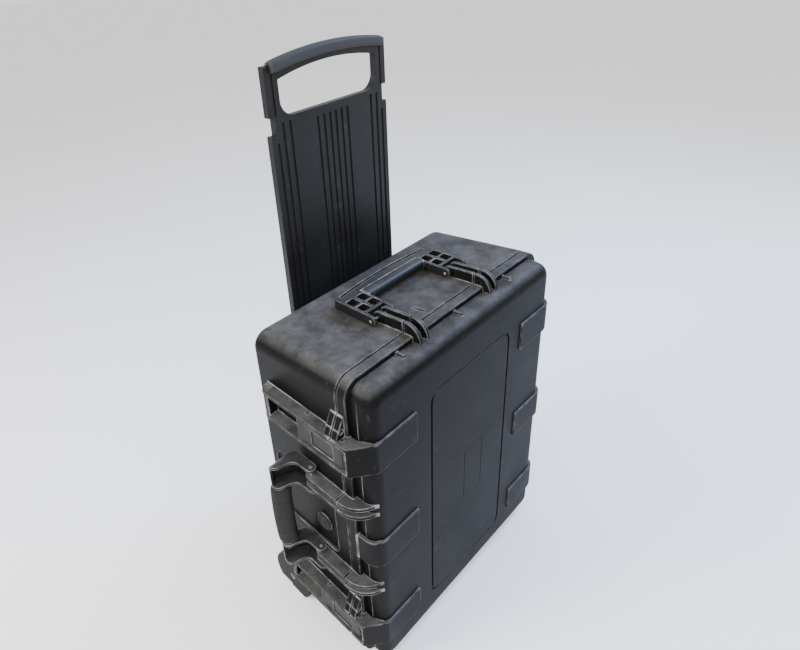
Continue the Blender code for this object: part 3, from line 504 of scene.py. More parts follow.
def piece(name, body, finish, shapes, nodes=(), smooth=35):
    """Joins shapes into one named piece that rides on a body and stands for CAD nodes.

    Edges that turn by more than smooth degrees stay sharp.
    """
    mesh = bpy.data.meshes.new(name)
    whole = bmesh.new()
    for shape in shapes:
        shape.to_mesh(mesh)
        shape.free()
        whole.from_mesh(mesh)
    bmesh.ops.translate(whole, vec=SHIFT, verts=whole.verts)
    made = as_object(whole, name)
    bpy.data.meshes.remove(mesh)
    made.data.materials.append(finish)
    made.data.shade_smooth()
    made.data.set_sharp_from_angle(angle=math.radians(smooth))
    weighted = made.modifiers.new("weighted", "WEIGHTED_NORMAL")
    weighted.keep_sharp = True
    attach(made, body)
    if nodes:
        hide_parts(*nodes)
    return made


def both_ways(side, low, high):
    """The span low to high, on the side of the middle that side's sign gives."""
    return sorted((side * low, side * high))


def hoop(low, high, inner, outer, chamfer):
    """A ring's profile for turned(), with its outer edges cut off."""
    return [(low, inner), (high, inner), (high, outer - chamfer), (high - chamfer, outer),
            (low + chamfer, outer), (low, outer - chamfer)]


# ---------------------------------------------------------------- brackets for the handles
TOP_PLACE = Matrix.Translation((0, *TOP_PIVOT))
SIDE_TURN = Matrix(((0, 0, -1, 0), (0, 1, 0, 0), (1, 0, 0, 0), (0, 0, 0, 1)))
SIDE_PLACE = Matrix.Translation((*SIDE_PIVOT, SIDE_HANDLE_Z)) @ SIDE_TURN


def ribs(outline, place):
    """The four ribs of a handle's bracket."""
    made = []
    for side in (-1, 1):
        for near, far in RIBS_U:
            rib = rounded(prism(outline, 0, *both_ways(side, near, far)), 0.0011, 2, 40)
            made.append(turned_to(rib, place))
    return made


def base_ribs(place, pivot_y, crest, back_v):
    front = PARTING_Y + PARTING_GAP - pivot_y
    outline = [(front, -0.0130), (front, crest)] + arc((0, 0), 0.0095, 90, -60, 10) + [(back_v, -0.0130)]
    return ribs(outline, place)


def lid_ribs(place, pivot_y, crest, reach, foot_w, inner):
    """The ribs' other halves, which curve down from the parting line to the lid's edge."""
    front = PARTING_Y - PARTING_GAP - pivot_y
    start = 0.050 - pivot_y
    outline = [(front, crest)]
    for step in range(19):
        angle = math.pi / 2 * step / 18
        outline.append((start - reach * math.sin(angle), foot_w + (crest - foot_w) * math.cos(angle)))
    return ribs(outline + inner, place)


def padlock_lug(z, front, back):
    """A pierced ear on top of a latch station; the lid's and the base's lie face to face."""
    foot = z + STATION_HALF - 0.002
    outline = [(-0.244, foot), (-0.268, foot), (-0.2655, foot + 0.010), (-0.251, foot + 0.037), (-0.244, foot + 0.037)]
    hole = rod(0.004, (-0.2565, foot + 0.0145), 1, front - 0.01, back + 0.01, 24)
    return carved(rounded(prism(outline, 1, front, back), 0.0012), ("DIFFERENCE", [hole]))


# ---------------------------------------------------------------- lid
def pad(outline, z):
    """A pad as tall as a latch station."""
    return rounded(prism(outline, 2, z - STATION_HALF, z + STATION_HALF), 0.0013, 3, 30)


def corner_pad(side, z):
    """A pad that wraps round the lid's edge."""
    centre = (LID_HALF - LID_ROUND, LID_ROUND)
    outer = arc(centre, LID_ROUND + PAD_PROUD, -90, 0, 16)
    inner = arc(centre, LID_ROUND - 0.003, 0, -90, 12)
    outline = [(PAD_REACH, -PAD_PROUD)] + outer + [(LID_HALF + PAD_PROUD, 0.040), (LID_HALF - 0.003, 0.040)]
    outline += inner + [(PAD_REACH, LID_INNER_Y)]
    return pad([(side * x, y) for x, y in outline], z)


def latch_pocket(z):
    """The space in the lid that a latch lever turns in."""
    inside = STATION_HALF - SHELF_THICK
    return slab((-0.280, 0.0255, z - inside), (-0.248, 0.070, z + inside))


def latch_pad(z):
    """The pad that a latch lever hangs in."""
    wall = -0.244
    parting = PARTING_Y - PARTING_GAP
    outline = [(-PAD_REACH, -PAD_PROUD), (-0.231, -PAD_PROUD), (-0.234, -0.0028), (-0.2685, 0.0225), (SHELF_X, 0.026)]
    outline += [(SHELF_X, parting), (wall, parting), (wall, 0.024), (-0.232, LID_INNER_Y), (-PAD_REACH, LID_INNER_Y)]
    hole = rod(LATCH_BORE, LATCH_PIN, 2, z - 0.04, z + 0.04, 20)
    return carved(pad(outline, z), ("DIFFERENCE", [latch_pocket(z), hole]))


def framed(low_y, high_y, radius, half_x, half_z, middle_z, wide):
    """A flat frame, for the grooves in the lid's face and rim."""
    outer = slab((-half_x, low_y, middle_z - half_z), (half_x, high_y, middle_z + half_z), 1, radius)
    inner = slab((-half_x + wide, low_y - 0.01, middle_z - half_z + wide),
                 (half_x - wide, high_y + 0.01, middle_z + half_z - wide), 1, radius - wide)
    return carved(outer, ("DIFFERENCE", [inner]))


def hinge_knuckle(low, high):
    return turned(hoop(low, high, HINGE_BORE, KNUCKLE_RADIUS, 0.0006), HINGE_AXIS, 2, 40)


def make_lid():
    parting = PARTING_Y - PARTING_GAP
    low = (-LID_HALF, 0, UNDER_Z + 0.005)
    shell = slab(low, (LID_HALF, PARTING_Y - 0.002, TOP_Z - 0.005), 1, 0.026, 10, (LID_ROUND, 0), LID_END, False)
    rim = slab((-HALF_WIDTH, 0.0370, UNDER_Z), (HALF_WIDTH, parting, TOP_Z), 1, SIDE_RADIUS, 10, (0.0022, 0.0013))
    channel = slab((-0.30, 0.0245, -0.05), (0.30, 0.0375, 0.70))
    keep = slab((-0.2408, 0.010, 0.0150), (0.2408, 0.060, 0.6240), 1, 0.0225, 10)
    channel = carved(channel, ("DIFFERENCE", [keep]))
    cavity = slab((-0.239, 0.0055, 0.017), (0.239, 0.070, 0.622), 1, 0.021, 6, (0.018, 0), LID_INSIDE_END, False)
    panel = framed(-0.01, 0.0020, 0.022, **PANEL)
    label = framed(-0.01, 0.0007, 0.003, **LABEL)
    bmesh.ops.translate(label, vec=(LABEL_SHIFT_X, 0, 0), verts=label.verts)
    holes = [rod(HINGE_BORE, HINGE_AXIS, 2, z - 0.020, z + 0.020, 20) for z in HINGE_Z]
    middle_z = (UNDER_Z + TOP_Z) / 2
    groove = framed(0.0515, 0.07, 0.025, HALF_WIDTH - 0.003, TOP_Z - middle_z - 0.003, middle_z, 0.005)
    holes += [latch_pocket(z) for z in STATIONS.values()]
    grooves = [cavity, panel, label, groove]
    main = carved(shell, ("DIFFERENCE", [channel]), ("UNION", [rim]), ("DIFFERENCE", grooves), ("DIFFERENCE", holes))
    shapes = [main]
    for z in STATIONS.values():
        shapes += [latch_pad(z), corner_pad(1, z), padlock_lug(z, 0.042, parting)]
    shapes += [corner_pad(side, MIDDLE_PAD_Z) for side in (-1, 1)]
    top_foot = [(0.024 - TOP_PIVOT[0], -0.0165), (parting - TOP_PIVOT[0], -0.0165)]
    shapes += lid_ribs(TOP_PLACE, TOP_PIVOT[0], 0.0125, 0.027, -0.0145, top_foot)
    middle = (LID_ROUND, LID_HALF - LID_ROUND)
    inner_round = LID_ROUND - 0.0035
    corner = [(y - SIDE_PIVOT[1], x + SIDE_PIVOT[0]) for y, x in arc(middle, inner_round, 180, 90, 8)]
    corner.append((parting - SIDE_PIVOT[1], middle[1] + inner_round + SIDE_PIVOT[0]))
    shapes += lid_ribs(SIDE_PLACE, SIDE_PIVOT[1], 0.0095, 0.047, -0.041, corner)
    for x in TAB_X:
        shapes.append(rounded(slab((x - 0.0028, 0.0225, 0.620), (x + 0.0028, 0.0380, 0.6285)), 0.0012))
    for z in HINGE_Z:
        low, high = z - 0.015, z + 0.015
        shapes += [hinge_knuckle(low, high), slab((0.244, 0.0475, low), (0.2555, parting, high))]
    piece("lid_body", "lid", SHELL, shapes, ["lid_shell"])


# ---------------------------------------------------------------- base
def latch_shelf(z):
    """One of the two shelves beside a latch."""
    wall = -0.243
    corner = 0.022
    outline = [(wall, PARTING_Y + PARTING_GAP), (SHELF_X, PARTING_Y + PARTING_GAP)]
    outline += arc((SHELF_X + corner, SHELF_BACK_Y - corner), corner, 180, 90, 14) + [(wall, SHELF_BACK_Y)]
    plate = rounded(prism(outline, 2, z - SHELF_THICK / 2, z + SHELF_THICK / 2), 0.0015, 3, 30)
    return carved(plate, ("DIFFERENCE", [rod(LATCH_BORE, STRIKE_PIN, 2, z - 0.02, z + 0.02, 20)]))


def wheel_cuts(side):
    """The wheel's well, its two openings downwards and the axle's bore."""
    below = both_ways(side, 0.200, 0.290)
    return [rod(WELL_RADIUS, (WHEEL_Y, WELL_Z), 0, *both_ways(side, 0.218, 0.2545), 72),
            slab((below[0], 0.2385, -0.030), (below[1], 0.320, 0.012)),
            slab((below[0], 0.150, -0.030), (below[1], 0.2400, UNDER_Z)),
            rod(0.0063, (WHEEL_Y, WHEEL_Z), 0, *both_ways(side, 0.205, 0.2566), 32)]


def make_base():
    parting = PARTING_Y + PARTING_GAP
    low = (-HALF_WIDTH, parting, UNDER_Z)
    shell = slab(low, (HALF_WIDTH, BACK_Y, TOP_Z), 1, SIDE_RADIUS, 10, (0.0015, 0.014), BASE_END)
    cavity = slab((-0.239, 0.040, 0.012), (0.2445, 0.247, 0.627), 1, 0.022, 6, (0, 0.008), BASE_INSIDE_END)
    bosses = []
    holes = []
    for side in (-1, 1):
        inner = both_ways(side, HOOD_X[0], 0.246)
        bosses.append(slab((inner[0], 0.1835, 0.018), (inner[1], 0.2510, 0.0920)))
        outer = both_ways(side, *HOOD_X)
        bosses.append(rounded(rod(HOOD_RADIUS, (WHEEL_Y, WELL_Z), 0, *outer, 72), 0.003, 3))
        holes += wheel_cuts(side)
        holes += [rod(0.0023, (side * SCREW_X, z), 1, 0.240, 0.260, 16) for z in SCREW_Z]
    handle_bay = slab((-0.280, *BAY[0]), (-0.244, *BAY[1]), 0, 0.016, 6, (0, 0.002))
    valve_bore = rod(0.0090, VALVE, 0, -0.260, -0.230, 32)
    top_slot = slab((*TOP_SLOT[0], TOP_Z - 0.004), (*TOP_SLOT[1], 0.640), 1, 0.0010, 2)
    holes += [handle_bay, valve_bore, top_slot]
    main = carved(shell, ("DIFFERENCE", [cavity]), ("UNION", bosses), ("DIFFERENCE", holes))
    shapes = [main]
    for z in STATIONS.values():
        for side in (-1, 1):
            shapes.append(latch_shelf(z + side * (STATION_HALF - SHELF_THICK / 2)))
        end_wall = [(-0.243, 0.203), (-0.265, 0.203), (-0.262, 0.213), (-0.254, 0.2195), (-0.243, 0.2195)]
        shapes.append(prism(end_wall, 2, z - STATION_HALF + 0.002, z + STATION_HALF - 0.002))
        shapes.append(padlock_lug(z, parting, 0.068))
    shapes += base_ribs(TOP_PLACE, TOP_PIVOT[0], 0.0125, 0.004)
    shapes += base_ribs(SIDE_PLACE, SIDE_PIVOT[1], 0.0095, 0.004)
    for z in HINGE_Z:
        for end in (-1, 1):
            low, high = sorted((z + end * 0.0155, z + end * 0.034))
            shapes += [hinge_knuckle(low, high), slab((0.244, parting, low), (0.2555, 0.0625, high))]
    piece("base_body", "case", SHELL, shapes, ["base_shell"])


# ---------------------------------------------------------------- carrying handles
def outer_edge(u):
    """How far out the top handle's bowed back edge lies at u, before its corners are rounded."""
    return arch(u, ARM_U[1], RIM_FOOT_V, RIM_V - RIM_FOOT_V)


def top_frame(corner):
    """The flat shape of the top handle: two arms, a bowed back edge, and the finger window's edge."""
    centre = (ARM_U[1] - corner, outer_edge(ARM_U[1] - corner) - corner)
    points = [(ARM_U[1], 0.012)] + arc(centre, corner, 0, 80, 8)
    for step in range(1, 24):
        u = (ARM_U[1] - corner * 0.8) * (1 - step / 12)
        points.append((u, outer_edge(u)))
    points += [(-u, v) for u, v in reversed(arc(centre, corner, 0, 80, 8))]
    return points + [(-ARM_U[1], 0.012), (-ARM_U[0], 0.012), (-ARM_U[0], BAR_V), (ARM_U[0], BAR_V), (ARM_U[0], 0.012)]


def prong(side, start):
    """One ear of a handle's fork, rounded about the pin."""
    outline = [(0.019, -0.0085), (0.019, ARM_W[1])] + arc((0, 0), EYE_RADIUS, 90, 270, 24)
    return rounded(prism(outline, 0, *both_ways(side, start, start + PRONG_THICK)), 0.0010, 2, 40)


def pin_bore(side):
    return rod(HANDLE_BORE, (0, 0), 0, *both_ways(side, 0.060, 0.130), 24)


def long_slot():
    """The slot that follows the top handle's bowed back edge."""
    outer = []
    for step in range(25):
        u = 0.108 * (1 - step / 12)
        outer.append((u, outer_edge(u) - 0.0036))
    return prism(outer + [(u, v - 0.0044) for u, v in reversed(outer)], 2, -0.020, 0.020)


def make_top_handle():
    """A flat frame with forked arms, four square pockets in each arm and a round bar."""
    blank = rounded(prism(top_frame(0.005), 2, -0.0085, ARM_W[1] - 0.0002), 0.0010, 3)
    prongs = []
    holes = []
    for side in (-1, 1):
        prongs += [prong(side, start) for start in (ARM_U[0], ARM_U[1] - PRONG_THICK)]
        holes.append(pin_bore(side))
        for near, far in POCKETS_U:
            for front, back in POCKETS_V:
                low, high = both_ways(side, near, far)
                holes.append(slab((low, front, -0.003), (high, back, 0.020), 2, 0.0018, 3))
    holes.append(long_slot())
    rings = []
    for step in range(25):
        u = BAR_HALF * (2 * step / 24 - 1)
        rings.append([(u, BAR_V + a, BAR_W + b) for a, b in oval(0.0120, 0.0098, 2.2, 28)])
    shapes = [carved(blank, ("UNION", prongs), ("DIFFERENCE", holes)), swept(rings)]
    piece("top_handle_body", "top_handle", HANDLE,
          [turned_to(shape, TOP_PLACE) for shape in shapes], ["top_handle"])


def round_corner(side, radius):
    """What lies outside the rounded outer corner of one of the side handle's arms."""
    u, v = SIDE_CORNER
    outline = [(u + 0.040, v)] + arc(SIDE_CORNER, radius, 0, 90, 24) + [(u, v + 0.040), (u + 0.040, v + 0.040)]
    return prism([(side * across, along) for across, along in outline], 2, -0.030, 0.070)


def make_side_handle():
    """Two cranked arms, hollow on the side that faces the lid, and the core of the bar between them."""
    outline = arc((0, 0), EYE_RADIUS, 90, 270, 24) + arc(SIDE_BEND, 0.013, -90, -20, 12)
    outline += arc(SIDE_BAR, 0.0135, -20, 150, 24)
    outline += [(0.0345, 0.0245), (0.0310, 0.0160), (0.0265, 0.0108), (0.0200, 0.0092)]
    hollow = [(-0.020, -0.020), (0.0145, -0.020), (0.0145, -0.0050)] + arc(SIDE_BEND, 0.0090, -90, -20, 10)
    hollow += arc(SIDE_BAR, 0.0095, -20, 70, 10) + [(0.052, 0.060), (-0.020, 0.060)]
    shapes = []
    for side in (-1, 1):
        arm = prism(outline, 0, *both_ways(side, *ARM_U))
        pocket = prism(hollow, 0, *both_ways(side, ARM_U[0] + SIDE_WALL, ARM_U[1] - SIDE_WALL))
        pocket = carved(pocket, ("DIFFERENCE", [round_corner(side, SIDE_CORNER_RADIUS - SIDE_WALL)]))
        arm = carved(arm, ("DIFFERENCE", [round_corner(side, SIDE_CORNER_RADIUS), pocket, pin_bore(side)]))
        shapes.append(rounded(arm, 0.0010, 2, 50))
        shapes.append(rounded(rod(0.0115, SIDE_BAR, 0, *both_ways(side, 0.0655, ARM_U[0] + 0.001)), 0.0010))
    shapes.append(rod(0.0070, SIDE_BAR, 0, -0.070, 0.070, 32))
    piece("side_handle_body", "side_handle", HANDLE,
          [turned_to(shape, SIDE_PLACE) for shape in shapes], ["side_handle"])


def make_side_grip():
    """An oval grip that lies aslant, slightly bowed, with grooves round it."""
    rings = []
    steps = 66
    for step in range(steps + 1):
        u = SIDE_GRIP_HALF * (2 * step / steps - 1)
        end = min(step, steps - step) / 4
        swell = 1 - 0.14 * max(0, 1 - end) ** 2
        if any(abs(u - line) < 0.0012 for line in SIDE_GRIP_LINES):
            swell *= 0.93
        bow = 0.0024 * (1 - (u / SIDE_GRIP_HALF) ** 2) - 0.0012
        ring = []
        for a, b in oval(0.0176 * swell, 0.0118 * swell, 2.3, 40):
            wide, thick = (a + bow) * math.sqrt(0.5), b * math.sqrt(0.5)
            ring.append((u, SIDE_BAR[0] + wide - thick, SIDE_BAR[1] + wide + thick))
        rings.append(ring)
    piece("side_grip", "side_handle", RUBBER, [turned_to(swept(rings), SIDE_PLACE)], ["side_handle_grip"])


# ---------------------------------------------------------------- trolley plate
def plate_grooves(side):
    """The long grooves in both faces of the plate, and the short one beside the hand hole's end."""
    cuts = []
    front, back = PLATE_Y
    start = PLATE_FOOT_Z + 0.012
    for group, top in ((GROOVES_MIDDLE, 0.918), (GROOVES_SIDE, 0.925)):
        for x in group:
            stop = top if x < PLATE_HALF - 0.020 else NOTCH_Z[1] - 0.0265
            low, high = side * x - GROOVE_HALF, side * x + GROOVE_HALF
            for near, far, ends in ((front - 0.01, front + GROOVE_DEPTH, (0, 0.0012)),
                                    (back - GROOVE_DEPTH, back + 0.01, (0.0012, 0))):
                cuts.append(slab((low, near, start), (high, far, stop), 1, GROOVE_ROUND, 4, ends))
    low = (side * HOLE_GROOVE_X - 0.0018, front - 0.01, 0.936)
    cuts.append(slab(low, (side * HOLE_GROOVE_X + 0.0018, front + 0.002, 1.003), 1, 0.0016, 3))
    return cuts


def make_trolley_plate():
    """The plate with its arched hand hole, the notches that the locks enter, and its grooves."""
    edge = [(PLATE_HALF, PLATE_FOOT_Z), (PLATE_HALF, PLATE_CORNER_Z), (ARCH_HALF, PLATE_CORNER_Z)]
    curve = []
    for step in range(33):
        x = ARCH_HALF * (1 - step / 16)
        curve.append((x, arch(x, ARCH_HALF, PLATE_CORNER_Z + 0.0005, ARCH_RISE)))
    outline = edge + curve + [(-x, z) for x, z in reversed(edge)]
    plate = rounded(prism(outline, 1, *PLATE_Y), 0.0012, 2)
    middle = (HOLE_HALF - HOLE_CORNER, HOLE_FLOOR_Z + HOLE_CORNER)
    window = arc(middle, HOLE_CORNER, -90, 0, 14)
    for step in range(33):
        x = HOLE_HALF * (1 - step / 16)
        window.append((x, arch(x, HOLE_HALF, HOLE_TOP_Z, 0.0125)))
    window += arc((-middle[0], middle[1]), HOLE_CORNER, 180, 270, 14)
    holes = [prism(window, 1, PLATE_Y[0] - 0.01, PLATE_Y[1] + 0.01)]
    for side in (-1, 1):
        for z in NOTCH_Z:
            low, high = both_ways(side, PLATE_HALF - NOTCH_DEPTH, PLATE_HALF + 0.01)
            holes.append(slab((low, PLATE_Y[0] - 0.01, z - NOTCH_HALF), (high, PLATE_Y[1] + 0.01, z + NOTCH_HALF)))
        holes += plate_grooves(side)
    body = carved(plate, ("DIFFERENCE", holes))
    piece("trolley_plate_body", "trolley_plate", PLATE, [body], ["trolley_handle"])


def make_trolley_grip():
    """The arched grip, cut out underneath where it sits on the plate."""
    rings = []
    steps = 48
    half_y, half_z = 0.0110, 0.00875
    for step in range(steps + 1):
        x = PULL_HALF * (2 * step / steps - 1)
        end = min(step, steps - step) / 2
        shrink = 1 - 0.12 * max(0, 1 - end) ** 2
        middle_z = arch(x, PULL_HALF, 1.0165, ARCH_RISE) - half_z
        rings.append([(x, PULL_Y + a * shrink, middle_z + b * shrink) for a, b in oval(half_y, half_z, 3.6, 32)])
    seat = [(SEAT_HALF, 0.980)]
    for step in range(33):
        x = SEAT_HALF * (1 - step / 16)
        seat.append((x, arch(x, SEAT_HALF, 1.0115, ARCH_RISE)))
    seat.append((-SEAT_HALF, 0.980))
    grip = carved(swept(rings), ("DIFFERENCE", [prism(seat, 1, PLATE_Y[0] - GAP, PLATE_Y[1] + 0.01)]))
    piece("trolley_grip_body", "trolley_plate", GRIP, [grip], ["trolley_grip"])


# ---------------------------------------------------------------- latches
def make_latch(name, z):
    """A lever with a recess in its middle, side cheeks, a sleeve round its pin and a lifting lip."""
    outline = [(-0.2640, 0.0345), (-0.2662, 0.0352), (-0.2672, 0.0400), (-0.2673, 0.0960), (-0.2662, 0.1120),
               (-0.2688, 0.1262), (-0.2680, 0.1280), (-0.2650, 0.1280), (-0.2636, 0.1262), (-0.2630, 0.1120),
               (-0.2642, 0.0980)]
    plate = rounded(prism(outline, 2, z - LEVER_HALF, z + LEVER_HALF), 0.0007, 2, 30)
    recess = slab((-0.280, 0.052, z - 0.0145), (-0.2658, 0.098, z + 0.0145), 0, 0.004, 4)
    shapes = [carved(plate, ("DIFFERENCE", [recess]))]
    for end in (-1, 1):
        span = sorted((z + end * 0.0180, z + end * LEVER_HALF))
        cheek = [(-0.2645, 0.0345), (-0.2540, 0.0365), (-0.2540, 0.0780), (-0.2645, 0.0960)]
        cut_outs = [rod(LATCH_BORE, LATCH_PIN, 2, z - 0.03, z + 0.03, 20),
                    rod(CLAW_BORE, CLAW_PIN, 2, z - 0.03, z + 0.03, 16)]
        shapes.append(carved(rounded(prism(cheek, 2, *span), 0.0005), ("DIFFERENCE", cut_outs)))
    low, high = z - 0.0179, z + 0.0179
    sleeve = [(low, LATCH_BORE), (high, LATCH_BORE), (high, 0.0052), (low, 0.0052)]
    shapes.append(turned(sleeve, LATCH_PIN, 2, 32))
    shapes.append(slab((-0.2650, 0.0370, low), (-0.2605, 0.0430, high)))
    lever = "latch_lever_" + name
    piece(f"latch_lever_body_{name}", lever, HANDLE, shapes, [lever])


# ---------------------------------------------------------------- wheels and valve
def make_wheel(side, label):
    """A grooved tyre on a hub with a rim, a nave, a thin disc and six spokes."""
    centre = (WHEEL_Y, WHEEL_Z)
    low, high = WHEEL_X
    profile = [(low, 0.0303), (high, 0.0303), (high, 0.0365), (high - 0.0022, 0.0392), (high - 0.0050, WHEEL_RADIUS)]
    for groove in (0.37, 0.63):
        middle = high + (low - high) * groove
        profile += [(middle + 0.0014, WHEEL_RADIUS), (middle + 0.0008, 0.0385), (middle - 0.0008, 0.0385),
                    (middle - 0.0014, WHEEL_RADIUS)]
    profile += [(low + 0.0050, WHEEL_RADIUS), (low + 0.0022, 0.0392), (low, 0.0365)]
    tyre = turned([(side * along, out) for along, out in profile], centre, 0, 96)
    body = "wheel_" + label
    piece(f"wheel_tyre_body_{label}", body, RUBBER, [tyre], [f"wheel_tyre_{label}"])
    rim = hoop(low + 0.001, high - 0.001, 0.0240, 0.0297, 0.0008)
    nave = hoop(low + 0.001, high - 0.001, 0.0095, 0.0140, 0.0012)
    disc = [(0.2360, 0.0130), (0.2390, 0.0130), (0.2390, 0.0250), (0.2360, 0.0250)]
    shapes = [turned([(side * along, out) for along, out in ring], centre, 0, 72) for ring in (rim, nave, disc)]
    span = both_ways(side, low + 0.0035, high - 0.0035)
    for spoke in range(6):
        turn = Matrix.Translation((0, *centre)) @ Matrix.Rotation(math.tau * spoke / 6, 4, "X")
        shapes.append(turned_to(rounded(slab((span[0], -0.0016, 0.0130), (span[1], 0.0016, 0.0250)), 0.0005), turn))
    piece(f"wheel_hub_body_{label}", body, HANDLE, shapes, [f"wheel_hub_{label}"])


def make_valve():
    """The valve's round cap: a dished face with a raised bar and a ring of small ribs."""
    profile = [(-0.2481, 0.0), (-0.2481, 0.0150), (-0.2500, 0.0150), (-0.2512, 0.0138), (-0.2515, 0.0120),
               (-0.2504, 0.0112), (-0.2502, 0.0)]
    shapes = [turned(profile, VALVE, 0, 64)]
    shapes.append(rounded(slab((-0.2514, VALVE[0] - 0.0022, VALVE[1] - 0.0100),
                               (-0.2495, VALVE[0] + 0.0022, VALVE[1] + 0.0100)), 0.0006))
    for step in range(20):
        turn = Matrix.Translation((0, *VALVE)) @ Matrix.Rotation(math.tau * step / 20, 4, "X")
        rib = slab((-0.2505, -0.0007, 0.0142), (-0.2483, 0.0007, 0.0155))
        shapes.append(turned_to(rib, turn))
    piece("valve_knob", "case", RUBBER, shapes, ["valve_cap"])


# ---------------------------------------------------------------- foam
def make_foam():
    """The pocketed block and the pad under it."""
    block = slab((-0.231, FOAM_Y[0], 0.0225), (0.236, FOAM_Y[1], 0.6165), 1, 0.014, 4, (0.004, 0.002))
    pockets = []
    for corner, opposite, depth in POCKETS:
        low = (corner[0], FOAM_Y[0] - 0.02, corner[1])
        pockets.append(slab(low, (opposite[0], FOAM_Y[0] + depth, opposite[1]), 1, 0.008, 4, (0, 0.003)))
    made = piece("foam_insert", "case", FOAM, [carved(block, ("DIFFERENCE", pockets))], ["base_foam"])
    pad_block = slab((-0.228, FOAM_Y[1] + GAP, 0.096), (0.229, 0.2455, 0.607), 1, 0.014, 4, (0.003, 0.006))
    made = piece("foam_floor", "case", FOAM, [pad_block], ["base_pad"])


def crate_point(x, z, front):
    """A point of the lid foam's front or back, with the four corners pulled in to round ones."""
    low, high = LID_FOAM
    rim = min(x - low.x, high.x - x, z - low.z, high.z - z)
    if front:
        wave = math.cos(math.tau * x / CRATE_PITCH) * math.cos(math.tau * (z - low.z) / CRATE_PITCH)
        fade = min(1, rim / CRATE_RIM)
        y = high.y - CRATE_HEIGHT + fade * CRATE_HEIGHT * wave - 0.004 * (1 - fade)
    else:
        y = low.y + CRATE_BACK_ROUND * max(0, 1 - rim / CRATE_BACK_ROUND) ** 2
    near_x = max(0, CRATE_CORNER - (x - low.x)) + max(0, CRATE_CORNER - (high.x - x))
    near_z = max(0, CRATE_CORNER - (z - low.z)) + max(0, CRATE_CORNER - (high.z - z))
    reach = math.hypot(near_x, near_z)
    if near_x and near_z and reach > CRATE_CORNER:
        pull = 1 - CRATE_CORNER / reach
        x += math.copysign(near_x * pull, -x)
        z += math.copysign(near_z * pull, (low.z + high.z) / 2 - z)
    return x, y, z


def make_lid_foam():
    """Egg-crate foam: peaks and hollows towards the case, a flat back with soft edges towards the lid."""
    low, high = LID_FOAM
    columns, rows = 96, 120
    bm = bmesh.new()
    grids = []
    for front in (True, False):
        grid = []
        for row in range(rows + 1):
            z = low.z + (high.z - low.z) * row / rows
            across = [low.x + (high.x - low.x) * column / columns for column in range(columns + 1)]
            grid.append([bm.verts.new(crate_point(x, z, front)) for x in across])
        grids.append(grid)
    for grid in grids:
        for row, above in zip(grid, grid[1:]):
            for column in range(columns):
                bm.faces.new((row[column], row[column + 1], above[column + 1], above[column]))
    front, back = grids
    loop = [(0, c) for c in range(columns)] + [(r, columns) for r in range(rows)]
    loop += [(rows, c) for c in range(columns, 0, -1)] + [(r, 0) for r in range(rows, 0, -1)]
    for (row, column), (next_row, next_column) in zip(loop, loop[1:] + loop[:1]):
        bm.faces.new((front[row][column], back[row][column], back[next_row][next_column],
                      front[next_row][next_column]))
    bmesh.ops.recalc_face_normals(bm, faces=bm.faces)
    made = piece("egg_crate_foam", "lid", FOAM, [bm], ["lid_foam"], 60)


make_lid()
make_base()
make_top_handle()
make_side_handle()
make_side_grip()
make_trolley_plate()
make_trolley_grip()
for station, height in STATIONS.items():
    make_latch(station, height)
make_wheel(-1, "left")
make_wheel(1, "right")
make_valve()
make_foam()
make_lid_foam()

# CAD nodes whose shape is right keep it and get a finer material for their slot
FINISHES = {"shell_plastic": SHELL, "handle_plastic": HANDLE, "rubber": RUBBER, "steel": STEEL, "foam": FOAM}
for entry in frame["record"]["subparts"]:
    node = frame["nodes"][entry["node"]]
    node.data.materials.clear()
    dull = entry["node"].startswith(("latch_pin", "strike_pin", "latch_claw"))
    node.data.materials.append(DULL_STEEL if dull else FINISHES[entry["material_slot"]])
    node.data.shade_smooth()
    node.data.set_sharp_from_angle(angle=math.radians(35))


# ---------------------------------------------------------------- floor, light and camera
TARGET = (0, 0, 0.4)
CAMERA_PLACE = (-0.65694, -0.41682, 1.14642)
CAMERA_TURN = (-38.98, 27.18, -6.69)
CAMERA_LENS = 26.19
CAMERA_SHIFT = (0.11975, -0.0854)


def make_floor():
    bm = bmesh.new()
    bmesh.ops.create_grid(bm, x_segments=8, y_segments=8, size=60)
    floor = as_object(bm, "floor")
    nodes = Nodes("pale_floor")
    tone = nodes.mix(nodes.span(nodes.noise(1.5, 3.0), 0.3, 0.7), (0.88, 0.88, 0.88), (0.91, 0.91, 0.91))
    nodes.plug(tone, nodes.shader.inputs["Base Color"])
    nodes.shader.inputs["Roughness"].default_value = 0.9
    floor.data.materials.append(nodes.material)


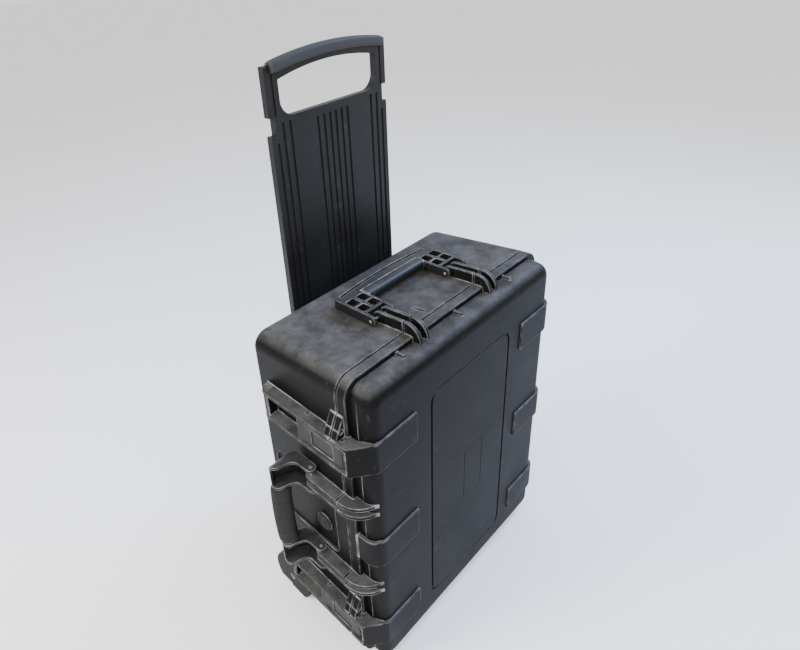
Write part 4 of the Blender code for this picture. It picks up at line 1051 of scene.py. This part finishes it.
def make_light(name, place, aim, size, power, colour):
    light = bpy.data.lights.new(name, "AREA")
    light.shape = "RECTANGLE"
    light.size, light.size_y = size
    light.energy = power
    light.color = colour
    lamp = bpy.data.objects.new(name, light)
    lamp.location = place
    lamp.rotation_euler = (Vector(aim) - Vector(place)).to_track_quat("-Z", "Y").to_euler()
    bpy.context.scene.collection.objects.link(lamp)


def make_world():
    world = bpy.data.worlds.new("studio")
    world.use_nodes = True
    sky = world.node_tree.nodes["Background"]
    sky.inputs["Color"].default_value = (1.0, 1.0, 1.0, 1)
    sky.inputs["Strength"].default_value = 1.25
    bpy.context.scene.world = world


def make_camera():
    """Looks down on the lid's face and the latch side; CAMERA_TURN is azimuth, elevation and roll."""
    azimuth, elevation, roll = (math.radians(value) for value in CAMERA_TURN)
    back = Vector((math.sin(azimuth) * math.cos(elevation), -math.cos(azimuth) * math.cos(elevation),
                   math.sin(elevation)))
    right = Vector((math.cos(azimuth), math.sin(azimuth), 0))
    up = back.cross(right)
    level = math.cos(roll) * right + math.sin(roll) * up
    upright = math.cos(roll) * up - math.sin(roll) * right
    data = bpy.data.cameras.new("camera")
    data.sensor_width = 36
    data.lens = CAMERA_LENS
    data.shift_x, data.shift_y = CAMERA_SHIFT
    camera = bpy.data.objects.new("camera", data)
    turn = Matrix((level, upright, back)).transposed().to_4x4()
    camera.matrix_world = Matrix.Translation(Vector(CAMERA_PLACE) + SHIFT) @ turn
    bpy.context.scene.collection.objects.link(camera)
    bpy.context.scene.camera = camera


make_floor()
make_world()
make_light("key", (-1.8, -1.5, 2.2), TARGET, (0.9, 0.9), 75, (1.0, 0.985, 0.96))
make_light("cool_shoulder", (1.60, -0.50, 2.3), (0, 0, 0.6), (0.7, 0.6), 85, (0.32, 0.50, 1.0))
make_light("left_rim", (-2.1, 0.9, 1.9), TARGET, (0.8, 0.8), 80, (1.0, 0.99, 0.97))
make_light("right_fill", (2.0, -1.2, 1.2), TARGET, (1.4, 1.4), 10, (1.0, 1.0, 1.0))
make_camera()

bpy.context.view_layer.update()
